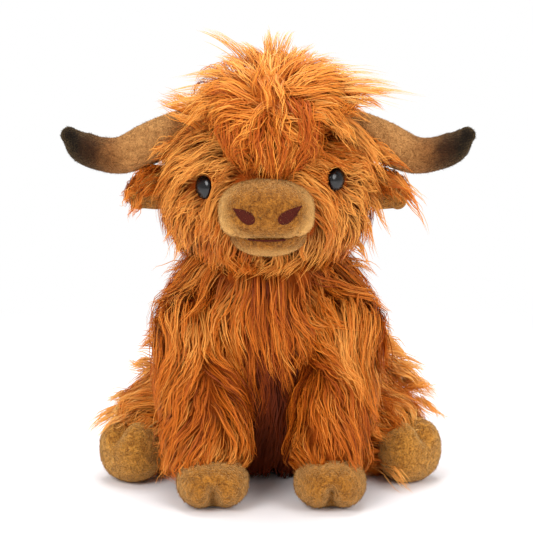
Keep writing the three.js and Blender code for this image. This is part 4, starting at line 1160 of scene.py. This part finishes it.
low, high = corners("lower_lip")
lip_middle = np.array((MUZZLE_ASIDE + LIP_ASIDE, low[1] + LIP_BACK, LIP_LEVEL))
lip_rows = ball(lip_middle, LIP_HALVES, 0.0, lambda way: 0 * way[..., 0], power=LIP_POWER)
lip = closed_skin("velboa_lip", lip_rows)
lip_finish = velboa_finish("lip_velboa", dye(184, 116, 40), dye(98, 48, 4), sheen=0.6)
# Painted light: the lip lightens towards its lower edge, and its top stays darker as in the shade of the
# crease.
height = lip_finish.node("SeparateXYZ", {}, {0: lip_finish.object_place()}).output("Z")
painted_light_below = lip_finish.node("MapRange", {"interpolation_type": "SMOOTHSTEP"}, {
    "Value": height, "From Min": 0.1685, "From Max": 0.1610, "To Max": 0.8})
lip_finish.set("Base Color", lip_finish.mix(painted_light_below, lip_finish.colour(), dye(244, 184, 104)))
dress(lip, lip_finish.material, "head", "tan_velboa", "lower_lip")
lip_nap = nap(lip, 2600, FACE_NAP, lambda p: p * (1, 0, 0) - (0, 0, 0.03), 98)
dress(lip_nap, lip_finish.material, "head", "tan_velboa")


# Nostrils and mouth
# Embroidery in dark thread: satin stitches side by side fill each teardrop nostril, and a row
# of longer stitches along the crease draws the mouth.

THREAD = 0.00075
STITCH_STEP_SHARE = 0.62  # of a thread's width, from one satin stitch to the next
NOSTRIL_LENGTH = 0.0148
NOSTRIL_HALF = 0.0042
NOSTRIL_TILT = np.radians(33)
NOSTRIL_LOBE = np.array((0.0100, 0.1857))  # middle of its round end, out from the middle and up
NOSTRIL_ROOT_SHARE = 0.22  # how much of its length is on the inner side of that
NOSTRIL_TAIL_RISE = 0.0006  # of the cow's left nostril alone
STITCH_CROWN = 0.0004
THREAD_SUNK = 0.0001
MOUTH_HALF = 0.0125
MOUTH_LEVEL = 0.1719
MOUTH_RISE = 0.0004  # of its corners
MOUTH_OUT = 0.0009  # how far the thread stands in front of the crease
MOUTH_POINTS = 61
STITCH_POINTS = 6  # steps along one stitch of the mouth
NEWTON_STEPS = 12


def onto(form, x, z):
    """The point and the outward direction where a form's front has these x and z, found by Newton
    steps in v and angle."""
    centre = form.axis(np.ones(1))[0][0]
    angle = np.arctan2(z - centre[2], x)
    v = np.full(x.shape, 1.5)
    first_miss = np.abs(form.point(v, angle)[..., 2] - z).mean()
    if first_miss > np.abs(form.point(v, -angle)[..., 2] - z).mean():
        angle = -angle
    for _ in range(NEWTON_STEPS):
        miss = np.stack([x, z], -1) - form.point(v, angle)[..., (0, 2)]
        a, b = (slope[..., (0, 2)] for slope in form.slopes(v, angle))
        scale = a[..., 0] * b[..., 1] - a[..., 1] * b[..., 0]
        scale = np.where(np.abs(scale) < 1e-9, 1e-9, scale)
        step = (miss[..., 0] * b[..., 1] - miss[..., 1] * b[..., 0]) / scale
        turn = (a[..., 0] * miss[..., 1] - a[..., 1] * miss[..., 0]) / scale
        v = np.clip(v + np.clip(step, -0.2, 0.2), 0.5, 1.97)
        angle = angle + np.clip(turn, -0.4, 0.4)
    return form.point(v, angle), form.normal(v, angle)


def threads(name, paths, radius, sides=7):
    """Round threads along paths, one row of points each, drawn in and capped at both ends."""
    count, stations = paths.shape[:2]
    tangent = unit(np.gradient(paths, axis=1))
    across = unit(np.cross(tangent, np.broadcast_to((0.02, -1.0, 0.03), tangent.shape)))
    up = np.cross(tangent, across)
    thick = radius * np.sqrt(1 - np.linspace(-1, 1, stations) ** 4 * 0.999)
    turn = np.linspace(0, 2 * np.pi, sides, endpoint=False)
    round_it = across[:, :, None] * np.cos(turn)[:, None] + up[:, :, None] * np.sin(turn)[:, None]
    rings = paths[:, :, None] + round_it * thick[None, :, None, None]
    low = np.arange(stations - 1)[:, None] * sides
    side = np.arange(sides)
    after = (side + 1) % sides
    walls = np.stack([low + side, low + after, low + sides + after, low + sides + side], -1).reshape(-1, 4)
    walls = np.vstack([walls[:, [0, 1, 2]], walls[:, [0, 2, 3]]])
    fan = np.arange(1, sides - 1)
    foot = np.stack([np.zeros_like(fan), fan + 1, fan], -1)
    cap = np.stack([np.zeros_like(fan), fan, fan + 1], -1) + (stations - 1) * sides
    faces = np.vstack([walls, foot, cap])
    faces = (faces[None] + (np.arange(count) * stations * sides)[:, None, None]).reshape(-1, 3)
    return mesh_of(name, rings.reshape(-1, 3), faces)


thread_finish = Finish("dark_thread", roughness=0.7, specular_ior_level=0.15)
twist = thread_finish.node("TexNoise", {}, {
    "Vector": thread_finish.object_place(), "Scale": 1500.0, "Detail": 2.0})
thread_finish.set("Base Color", thread_finish.mix(twist, dye(42, 9, 4), dye(98, 32, 14)))
thread_finish.bump(twist, 0.0003)

for name, side in SIDES:
    p = np.linspace(0.02, 0.985, int(NOSTRIL_LENGTH / (THREAD * STITCH_STEP_SHARE)))[:, None]
    q = np.linspace(-1, 1, 9)[None]
    half = NOSTRIL_HALF * 2.6 * (1 - p) * np.sqrt(p)
    run, rise = np.cos(NOSTRIL_TILT), np.sin(NOSTRIL_TILT)
    along = (p - NOSTRIL_ROOT_SHARE) * NOSTRIL_LENGTH * (1 + (0.05 + 0.07 * side) * p)
    x = MUZZLE_ASIDE + side * (NOSTRIL_LOBE[0] + along * run - q * half * rise)
    z = NOSTRIL_LOBE[1] + along * rise + q * half * run + NOSTRIL_TAIL_RISE * (side > 0) * p ** 2
    spot_on, out = onto(muzzle_form, x, z)
    lift = STITCH_CROWN * (1 - q ** 2) - THREAD_SUNK
    piece = threads(f"nostril_{name}_stitches", spot_on + out * lift[..., None], THREAD / 2)
    dress(piece, thread_finish.material, "head", "dark_thread", f"nostril_{name}")

x = np.linspace(-1, 1, MOUTH_POINTS) * MOUTH_HALF
z = MOUTH_LEVEL + MOUTH_RISE * (x / MOUTH_HALF) ** 2
x = x + lip_middle[0]
on_muzzle, out = onto(muzzle_form, x, z + 0.0003)
on_lip = lip_middle[1] - LIP_HALVES[1] * np.sqrt(1 - ((x - lip_middle[0]) / LIP_HALVES[0]) ** 2)
line = np.stack([x, np.minimum(on_muzzle[:, 1], on_lip) - MOUTH_OUT, z], -1)
starts = range(0, MOUTH_POINTS - 1 - STITCH_POINTS, STITCH_POINTS)
stitches = np.stack([line[start:start + STITCH_POINTS + 2] for start in starts])
mouth = threads("mouth_stitches", stitches, THREAD * 0.85)
dress(mouth, thread_finish.material, "head", "dark_thread", "mouth_stitching")


# Eyes
# Black plastic domes on stems, pushed through the cloth and held by washers behind it.

EYE_RADIUS = 0.0075
EYE_RIM = 0.0009  # height of the rim under the dome
EYE_BACK = 0.0002
STEM_LENGTH = 0.009
STEM_RADIUS = 0.0016
eye_finish = Finish("eye_plastic", base_color=(0.004, 0.0035, 0.0035, 1), roughness=0.16,
                    specular_ior_level=0.55)

for name, (place, aim) in eyes.items():
    stem = [(0, -STEM_LENGTH), (STEM_RADIUS, -STEM_LENGTH), (STEM_RADIUS, -EYE_BACK)]
    rim = [(EYE_RADIUS - 0.0003, -EYE_BACK), (EYE_RADIUS, EYE_RIM / 3)]
    dome = [(EYE_RADIUS * np.cos(t), EYE_RIM + (EYE_DOME - EYE_RIM) * np.sin(t))
            for t in np.linspace(0.06, np.pi / 2, 24)]
    profile = np.array(stem + rim + dome)
    turn = np.linspace(0, 2 * np.pi, 64, endpoint=False)
    side_way = unit(np.cross(aim, (0, 0, 1)))
    up_way = np.cross(side_way, aim)
    round_it = side_way * np.cos(turn)[:, None] + up_way * np.sin(turn)[:, None]
    rows = place + aim * profile[:, 1, None, None] + profile[:, 0, None, None] * round_it
    eye = closed_skin(f"eye_{name}_dome", rows)
    dress(eye, eye_finish.material, "head", "eye_plastic", f"eye_{name}")


# Horns
# Stuffed velboa cones, airbrushed from tan through brown to black at the tip, with painted shade at the
# root where the head's hair overlaps.

HORN_DIAMETER = 0.0265
HORN_TIP = 0.011
HORN_NAP = 0.0015
HORN_SHARES = [  # way out, dip, sweep, thickness
    (0, -0.1, 0, 1),
    (0.18, 0.05, 0.02, 1),
    (0.38, 0.46, 0.1, 1),
    (0.6, 1, 0.3, 0.83),
    (0.78, 0.92, 0.62, 0.66),
    (0.91, 0.55, 0.86, 0.55),
    (1, 0, 1, 0),
]
HORN_ROOT = 0.042
HORN_BASE = 0.228
HORN_DIP = 0.0155
HORN_TIP_DROP = 0.0025
HORN_FORWARD = 0.034
HORN_SWEEP = 0.009

horn_finish = velboa_finish("horn_velboa", dye(214, 155, 91), dye(148, 98, 50), sheen=0.25)
place = horn_finish.object_place()
across = horn_finish.node("SeparateXYZ", {}, {0: place})
out = horn_finish.node("Math", {"operation": "ABSOLUTE"}, {0: across})
uneven = horn_finish.node("TexNoise", {}, {"Vector": place, "Scale": 90.0, "Detail": 4.0})
# How far out along the horn: near the root the stops darken it as painted shade under the overlapping hair;
# further out they are the airbrushing, brown to black at the tip.
airbrush_and_root_shade = horn_finish.node("MapRange", {}, {
    "Value": out + uneven * 0.012 - 0.006, "From Min": 0.050, "From Max": 0.122})
stops = [(0.0, (0.42, 0.34, 0.28, 1)), (0.12, (0.6, 0.52, 0.45, 1)), (0.24, (1, 1, 1, 1)),
         (0.52, (0.95, 0.93, 0.92, 1)), (0.68, (0.5, 0.42, 0.38, 1)), (0.84, (0.11, 0.085, 0.085, 1)),
         (1.0, (0.012, 0.012, 0.014, 1))]
shade = horn_finish.node("ValToRGB", {"stops": stops}, {0: airbrush_and_root_shade})
horn_finish.set("Base Color", horn_finish.mix(1.0, horn_finish.colour(), shade, "MULTIPLY"))

for name, side in SIDES:
    low, high = corners(f"horn_{name}")
    reach = max(abs(low[0]), abs(high[0])) - HORN_TIP / 2 - HORN_ROOT
    horn_form = Form(
        spine=[(side * (HORN_ROOT + reach * way), -HORN_FORWARD - HORN_SWEEP * sweep,
                HORN_BASE - HORN_TIP_DROP * way - (HORN_DIP - HORN_TIP_DROP * way) * dip)
               for way, dip, sweep, _ in HORN_SHARES],
        halves=[((HORN_TIP + (HORN_DIAMETER - HORN_TIP) * thick) / 2,) * 2
                for _, _, _, thick in HORN_SHARES],
        domes=(HORN_TIP / 2, HORN_TIP / 2), along=(0, 1, 0))
    horn = skin_of(f"velboa_horn_{name}", horn_form, rings=54, around=48, ends=12)
    dress(horn, horn_finish.material, "head", "horn_velboa", f"horn_{name}")
    pile = nap(horn, 4000, HORN_NAP, lambda p, side=side: np.array((side * 1.0, 0, 0)) + 0 * p, 93 + side)
    dress(pile, horn_finish.material, "head", "horn_velboa")


# Ears
# Flat leaves out of the sides of the head: fur cloth on the back, whose hair hangs past the tip,
# sewn to a velboa lining that faces forward and down.

EAR_SHARES = [(0, 0.5, 0.8), (0.3, 0.86, 0.94), (0.62, 1, 1), (1, 0.5, 0.7)]  # length, width, thickness
EAR_LENGTH = 0.034
EAR_WIDTH = 0.031
EAR_DOME = 0.006
EAR_FALL, EAR_TURN, EAR_TILT = np.radians((26, 8, 32))
EAR_LOCKS = 236  # over both of its faces, of which the back's are kept
EAR_LOCK_LENGTH = 0.0205
EAR_LENGTH_SHARES = (0.6, 1.25)
EAR_LOFTS = (0.002, 0.006)
EAR_APART = 0.0022  # from the ear's middle plane to the middle of its back
EAR_BACK_HALF = 0.0025  # half the thickness of its back
LINING_APART = 0.003  # the same two for its lining
LINING_HALF = 0.0022
EAR_SEAM = 0.0015  # by which the back is smaller all round
EAR_HOLLOW = 0.0012
EAR_CLEARING = (0.021, 0.012, 0.0088)  # half sizes of the room kept free of hair at the lining
EAR_TUFTS = {
    1: [(0.065, -0.047, 0.213, 0.089, -0.051, 0.207), (0.067, -0.048, 0.209, 0.092, -0.053, 0.201),
        (0.068, -0.050, 0.204, 0.092, -0.056, 0.195), (0.081, -0.050, 0.201, 0.101, -0.055, 0.183),
        (0.084, -0.052, 0.194, 0.105, -0.058, 0.162), (0.079, -0.050, 0.199, 0.096, -0.055, 0.178)],
    -1: [(-0.084, -0.050, 0.193, -0.093, -0.055, 0.182), (-0.082, -0.052, 0.185, -0.085, -0.056, 0.174),
         (-0.083, -0.052, 0.183, -0.089, -0.056, 0.170)],
}

for name, side in SIDES:
    root = pivot(f"ear_{name}_flap")
    level = np.cos(EAR_FALL)
    out = np.array((side * level * np.cos(EAR_TURN), -level * np.sin(EAR_TURN), -np.sin(EAR_FALL)))
    wide = np.array((0, -np.sin(EAR_TILT), np.cos(EAR_TILT)))
    face = unit(np.cross(out, wide) * side)
    spine = [root + out * (EAR_LENGTH - EAR_DOME) * way for way, _, _ in EAR_SHARES]
    ear_form = Form(spine=[point - face * EAR_APART for point in spine],
                    halves=[(EAR_WIDTH / 2 * width - EAR_SEAM, EAR_BACK_HALF * thick)
                            for _, width, thick in EAR_SHARES],
                    domes=(EAR_DOME, EAR_DOME - EAR_SEAM), along=wide)
    back = skin_of(f"ear_{name}_cloth", ear_form, rings=24, around=40, ends=8)
    dress(back, GINGER_CLOTH, f"ear_{name}", "ginger_hair", f"ear_back_{name}")
    lining_form = Form(spine=[point + face * LINING_APART for point in spine],
                       halves=[(EAR_WIDTH / 2 * width, LINING_HALF * thick)
                               for _, width, thick in EAR_SHARES],
                       domes=(EAR_DOME, EAR_DOME), along=wide)

    def hollow_ear(points, root=root, wide=wide):
        """The lining dips along its middle, as a bell across it."""
        across = ((points - root) @ wide) / (EAR_WIDTH / 2)
        return -EAR_HOLLOW * bell(across, 0.45)

    lining = skin_of(f"ear_{name}_velboa", lining_form, rings=32, around=64, ends=10, relief=hollow_ear)
    dress(lining, TAN, f"ear_{name}", "tan_velboa", f"ear_lining_{name}")
    rng = np.random.default_rng(61 + side)
    v, angle = ear_form.scatter(EAR_LOCKS, rng, ends=(-0.5, 1.8))
    roots = ear_form.point(v, angle)
    behind = ((roots - root) @ face < 0.0005) | ((roots - root) @ wide > EAR_WIDTH * 0.25)
    v, angle, roots = v[behind], angle[behind], roots[behind]
    lines, normals = grow_locks(
        ear_form, v, angle, lambda p, out=out, root=root: (
            out * (0.95 - 0.9 * smooth((p - root) @ out, EAR_LENGTH * 0.5, EAR_LENGTH)[:, None])
            + (0, -0.1, -0.45) + swirl(p, 0.04, 17) * 0.35),
        EAR_LOCK_LENGTH * rng.uniform(*EAR_LENGTH_SHARES, len(v)),
        loft=rng.uniform(*EAR_LOFTS, len(v)), hold=0.45, flare=rng.uniform(0, 0.4, len(v)))
    bare = root + out * EAR_LENGTH * 0.6 - wide * EAR_WIDTH * 0.32 + face * 0.006
    lines, kept = keep_clear(lines, [(bare, np.array(EAR_CLEARING))])
    lines, normals = lines[kept], normals[kept]
    tones = 0.6 + rng.normal(0, 0.12, len(lines))
    piece = hair(f"ear_{name}_hair", lines, normals, tones, rng, spread=0.0042)
    dress(piece, GINGER, f"ear_{name}", "ginger_hair")
    tufts(f"ear_{name}_tufts", EAR_TUFTS[side], GINGER, f"ear_{name}", "ginger_hair", 89 + side, each=1)


# Topknot
# Longer, lighter hair sewn into the crown seam: it stands up and out in spikes, and its front
# falls into the forelock.

TOPKNOT_LOCKS = 445
TOPKNOT_LOCK_LENGTH = 0.033
TOPKNOT_LOFTS = (0.006, 0.013)
BACK_LONGER = 0.55  # by which its locks are longer at the back, as a share
BACK_HIGHER = 0.0025  # by which they stand higher there
WHORL_THICK = 0.022  # how far round the whorl the hair is sewn thicker
WHORL_RUFFLE = 0.010  # how far round it the hair is ruffled and shorter
FORELOCK_LOCKS = 110
FORELOCK_LENGTH = 0.050
FORELOCK_LOFTS = (0.006, 0.014)
FORELOCK_FRONT = (0.72, 1.9)  # where along the topknot's form it grows
FORELOCK_HALF = 0.032  # half the width it grows from
FORELOCK_LEVELS = (0.236, 0.262)
FORELOCK_BACK = -0.085
WISP_BOW = (0, -0.006, 0.006)  # how far forward and up a wisp's middle stands
PART_ASIDE = 0.004  # how far aside the topknot's middle lies
TOPKNOT_DOME = 0.012 + SKIN_DEPTH
TOPKNOT_SHARES = [  # way forward, rise, width, thickness
    (0, 0, 0.62, 0.62),
    (0.26, 0.78, 0.92, 0.92),
    (0.52, 1, 1, 1),
    (0.8, 0.72, 0.84, 0.86),
    (1, 0, 0.5, 0.55),
]
TOPKNOT_WIDTH = 0.100
TOPKNOT_THICKNESS = 0.046
TOPKNOT_BACK = np.array((0.004, -0.004, 0.232))
TOPKNOT_FRONT = np.array((0.003, -0.100, 0.222))
TOPKNOT_PEAK = 0.2545  # height of its middle line's highest point
WISP_TIPS = [  # across, back and up: where the longest wisps end
    (-0.044, -0.050, 0.2935), (-0.001, -0.050, 0.2945), (0.005, -0.045, 0.2935), (0.016, -0.050, 0.2920),
    (0.044, -0.055, 0.2765), (0.056, -0.060, 0.2700), (0.088, -0.065, 0.2590), (0.086, -0.070, 0.2510),
    (0.098, -0.065, 0.2540), (-0.053, -0.055, 0.2640), (-0.067, -0.060, 0.2540), (-0.065, -0.070, 0.2440),
    (0.028, -0.050, 0.2815), (-0.022, -0.045, 0.2860), (-0.058, -0.065, 0.2640), (0.072, -0.060, 0.2640),
    (0.078, -0.065, 0.2500), (0.074, -0.070, 0.2450), (0.082, -0.060, 0.2570), (0.066, -0.060, 0.2600),
    (-0.072, -0.060, 0.2440), (-0.060, -0.066, 0.2480),
]
SIDE_TUFTS = [
    (-0.040, -0.058, 0.235, -0.071, -0.055, 0.248), (-0.039, -0.062, 0.232, -0.067, -0.060, 0.241),
    (-0.038, -0.052, 0.242, -0.066, -0.050, 0.249), (-0.036, -0.060, 0.240, -0.060, -0.056, 0.243),
    (0.044, -0.062, 0.246, 0.072, -0.060, 0.244), (0.044, -0.058, 0.250, 0.080, -0.058, 0.252),
    (0.040, -0.064, 0.240, 0.066, -0.062, 0.234), (-0.030, -0.084, 0.250, -0.050, -0.072, 0.236),
    (-0.032, -0.080, 0.246, -0.052, -0.070, 0.230), (-0.034, -0.070, 0.252, -0.056, -0.064, 0.240),
    (0.027, -0.094, 0.247, 0.046, -0.087, 0.229), (0.032, -0.089, 0.247, 0.054, -0.080, 0.228),
    (0.036, -0.084, 0.242, 0.058, -0.074, 0.223), (-0.002, -0.092, 0.266, 0.001, -0.106, 0.246),
    (0.006, -0.092, 0.266, 0.010, -0.106, 0.245),
]

# the golden backing's darker dye is partly painted shade of the pile's depths
GOLDEN_CLOTH = cloth_finish("golden_backing", dye(206, 110, 36), dye(160, 76, 18))
foot_line = [TOPKNOT_BACK + (TOPKNOT_FRONT - TOPKNOT_BACK) * way for way, _, _, _ in TOPKNOT_SHARES]
topknot_form = Form(
    spine=[foot + (0, 0, (TOPKNOT_PEAK - foot[2]) * lift)
           for foot, (_, lift, _, _) in zip(foot_line, TOPKNOT_SHARES)],
    halves=[(TOPKNOT_WIDTH / 2 * wide, TOPKNOT_THICKNESS / 2 * thick)
            for _, _, wide, thick in TOPKNOT_SHARES],
    domes=(TOPKNOT_DOME, TOPKNOT_DOME), grow=SKIN_DEPTH)
topknot_cloth = skin_of("topknot_cloth", topknot_form, rings=32, around=48, ends=8)
dress(topknot_cloth, GOLDEN_CLOTH, "head", "golden_hair", "topknot")


def crown_way(points):
    """Straight out of the whorl, a little upwards above it and down over the back of the head."""
    away = unit(points - WHORL)
    aside = smooth(np.abs(points[:, :1] - PART_ASIDE), 0.015, 0.045)
    sink = np.where(points[:, :1] < 0, 1.0, 0.55) * aside
    rise = (0, 0, 1) * (0.12 * smooth(points[:, 2:], 0.245, 0.27) - sink)
    fall = (0, 0.15, -0.7) * smooth(points[:, 1:2], -0.035, -0.008)
    return away * (1.1, 0.8, 1) + rise + fall + swirl(points, 0.06, 19) * 0.35


def forelock_way(points):
    """Down over the forehead, wandering."""
    return unit(points * (1, 0, 0)) * 0.25 + (0, -0.15, -1.0) + swirl(points, 0.045, 23) * 0.35


rng = np.random.default_rng(71)
v, angle = topknot_form.scatter(
    TOPKNOT_LOCKS, rng, ends=(-0.9, 1.9), crowd=lambda p: 1 + 5 * bell(length_of(p - WHORL), WHORL_THICK))
roots = topknot_form.point(v, angle)
by_whorl = bell(length_of(roots - WHORL), WHORL_RUFFLE)
ruffle = unit(rng.normal(size=(len(v), 3)) * (1, 0.3, 1)) * by_whorl[:, None] * 1.1
aside = smooth(np.abs(roots[:, 0] - PART_ASIDE), 0.015, 0.045)
high = smooth(roots[:, 2], 0.256, 0.266)
longer = 0.90 + np.where(roots[:, 0] < 0, 6.5 - 4.5 * high, 2.5 - 4.5 * high) * roots[:, 0]
longer += BACK_LONGER * smooth(roots[:, 1], -0.06, -0.02)
lines, normals = grow_locks(
    topknot_form, v, angle, lambda p: crown_way(p) + ruffle,
    TOPKNOT_LOCK_LENGTH * rng.uniform(0.6, 1.15, len(v)) * (1 - 0.3 * by_whorl) * longer,
    loft=rng.uniform(*TOPKNOT_LOFTS, len(v)) + BACK_HIGHER * smooth(roots[:, 1], -0.07, -0.045),
    hold=0.25, flare=rng.uniform(0, 0.45, len(v)) * (1 - 0.75 * aside))
# the hair lightens the higher it is rooted: painted light from above
tones = 0.38 + 9.0 * (roots[:, 2] - 0.245) + 0.1 * swirl(roots, 0.04, 20)[:, 0]
tones = tones + rng.normal(0, 0.12, len(v))
lines, kept = keep_clear(lines, face_hollows)
topknot_hair = hair("topknot_hair", lines[kept], normals[kept], tones[kept], rng, count=14, spread=0.006,
                    gather=0.72, width=0.0008, wave=0.0011, hollows=face_hollows)
dress(topknot_hair, GOLD, "head", "golden_hair")

v = rng.uniform(*FORELOCK_FRONT, FORELOCK_LOCKS * 6)
angle = rng.uniform(0, 2 * np.pi, len(v))
roots = topknot_form.point(v, angle)
facing = ((np.abs(roots[:, 0]) < FORELOCK_HALF) & (roots[:, 2] > FORELOCK_LEVELS[0])
          & (roots[:, 2] < FORELOCK_LEVELS[1]) & (roots[:, 1] < FORELOCK_BACK))
v, angle = v[facing][:FORELOCK_LOCKS], angle[facing][:FORELOCK_LOCKS]
lines, normals = grow_locks(
    topknot_form, v, angle, forelock_way, FORELOCK_LENGTH * rng.uniform(0.6, 1.1, len(v)),
    loft=rng.uniform(*FORELOCK_LOFTS, len(v)), hold=0.25, flare=rng.uniform(0, 0.35, len(v)))
lines, kept = keep_clear(lines, face_hollows)
tones = 0.1 + rng.normal(0, 0.12, kept.sum())
forelock = hair("forelock_hair", lines[kept], normals[kept], tones, rng, hollows=face_hollows)
dress(forelock, GOLD, "head", "golden_hair")

tips = np.repeat(np.array(WISP_TIPS), 2, axis=0)
tips = tips + rng.normal(0, 1, tips.shape) * (0.0022, 0.003, 0.0014) - (0, 0, 0.001)
starts = (tips - WHORL) * (0.25, 0.45, 0.45) + WHORL + (0, 0.012, 0)
s = np.linspace(0, 1, STATIONS)[None, :, None]
lines = starts[:, None] + (tips - starts)[:, None] * s + np.array(WISP_BOW) * np.sin(np.pi * s)
normals = np.broadcast_to(unit(np.array((0.0, -1.0, 0.5))), tips.shape)
wisps = hair("topknot_wisps", lines, normals, np.full(len(tips), 0.8), rng, count=10, spread=0.0042,
             gather=0.95, width=0.00055, wave=0.0006)
dress(wisps, GOLD, "head", "golden_hair")
tufts("topknot_side_tufts", SIDE_TUFTS, GOLD, "head", "golden_hair", 95, each=3, tone=0.5)


# Inside
# Fibre filling, a bag of pellets in the seat, and the eyes' washers: all hidden by the covers.

bag = Finish("bag_cloth", roughness=0.95, specular_ior_level=0.1)
drawn_out = bag.node("Mapping", {}, {"Vector": bag.object_place(), "Scale": (1, 1, 8)})
weave = bag.node("TexNoise", {}, {"Vector": drawn_out, "Scale": 400.0})
bag.set("Base Color", bag.mix(weave, dye(176, 168, 148), dye(216, 209, 192)))
bag.bump(weave, 0.0004)
nylon = Finish("washer_nylon", roughness=0.45)
mottle = nylon.node("TexNoise", {}, {"Vector": nylon.object_place(), "Scale": 500.0})
nylon.set("Base Color", nylon.mix(mottle, dye(206, 206, 200), dye(226, 226, 222)))
for node, piece in frame["nodes"].items():
    if "stuffing" in node:
        piece.material_slots[0].material = FILLING
    elif node == "pellet_bag":
        piece.material_slots[0].material = bag.material
    elif "washer" in node:
        piece.material_slots[0].material = nylon.material


# Studio
# A pale floor and a soft light above, in front and at both sides; the camera looks slightly down.

CAMERA_PLACE = (-0.001, -1.176, 0.345)
CAMERA_PITCH = 10.2  # degrees below level
CAMERA_LENS = 121.2  # millimetres, on a sensor 36 wide
FLOOR_SIZE = 6.0
LAMP_SIZE = 0.8
LIT_POINT = np.array((0, 0, 0.14))  # the middle of the toy, at which the lamps are aimed
SKY_LIGHT = 0.5  # strength of the backdrop as light on the toy
SKY_SEEN = 1.0  # and as the camera sees it
FLOOR_FADE = (0.2, 0.55)  # distances between which the floor goes over into the backdrop


def lamp(name, place, power):
    """A round soft lamp aimed at the toy's middle."""
    data = bpy.data.lights.new(name, "AREA")
    data.shape, data.size, data.energy = "DISK", LAMP_SIZE, power
    light = bpy.data.objects.new(name, data)
    bpy.context.scene.collection.objects.link(light)
    light.location = place
    way = LIT_POINT - np.array(place)
    yaw, reach = np.arctan2(way[1], way[0]), np.hypot(way[0], way[1])
    light.rotation_euler = (np.arctan2(reach, -way[2]), 0, yaw - np.pi / 2)


camera_data = bpy.data.cameras.new("camera")
camera_data.lens = CAMERA_LENS
camera = bpy.data.objects.new("camera", camera_data)
bpy.context.scene.collection.objects.link(camera)
camera.location = CAMERA_PLACE
camera.rotation_euler = (np.radians(90 - CAMERA_PITCH), 0, 0)
bpy.context.scene.camera = camera

half = FLOOR_SIZE / 2
floor_corners = [(-half, -half, 0), (half, -half, 0), (half, half, 0), (-half, half, 0)]
floor = mesh_of("floor", floor_corners, [(0, 1, 2, 3)])
floor_finish = Finish("floor_paper", base_color=(0.96, 0.95, 0.965, 1), roughness=0.9,
                      specular_ior_level=0.0)
floor.data.materials.append(floor_finish.material)
far = floor_finish.node("VectorMath", {"operation": "LENGTH"}, {0: floor_finish.object_place()})
far = far.output("Value")
fade = floor_finish.node("MapRange", {"interpolation_type": "SMOOTHSTEP"}, {
    "Value": far, "From Min": FLOOR_FADE[0], "From Max": FLOOR_FADE[1]})
seen = fade * floor_finish.node("LightPath").output("Is Camera Ray")
paper = Wire(floor_finish, floor_finish.shader.outputs[0])
backdrop = floor_finish.node("MixShader", {}, {0: seen, 1: paper, 2: floor_finish.node("Emission")})
floor_finish.join(backdrop, floor_finish.tree.nodes["Material Output"].inputs["Surface"])

world = bpy.data.worlds.new("studio")
bpy.context.scene.world = world
world.use_nodes = True
background = world.node_tree.nodes["Background"]
background.inputs["Color"].default_value = (1, 1, 1, 1)
path = world.node_tree.nodes.new("ShaderNodeLightPath")
level = world.node_tree.nodes.new("ShaderNodeMapRange")
level.inputs["To Min"].default_value = SKY_LIGHT
level.inputs["To Max"].default_value = SKY_SEEN
world.node_tree.links.new(path.outputs["Is Camera Ray"], level.inputs["Value"])
world.node_tree.links.new(level.outputs["Result"], background.inputs["Strength"])

lamp("key", (-0.66, -0.98, 0.88), 10)
lamp("fill", (0.80, -0.88, 0.66), 7.5)
lamp("top", (0, 0.15, 1.3), 11)

bpy.context.scene.view_settings.view_transform = "Standard"
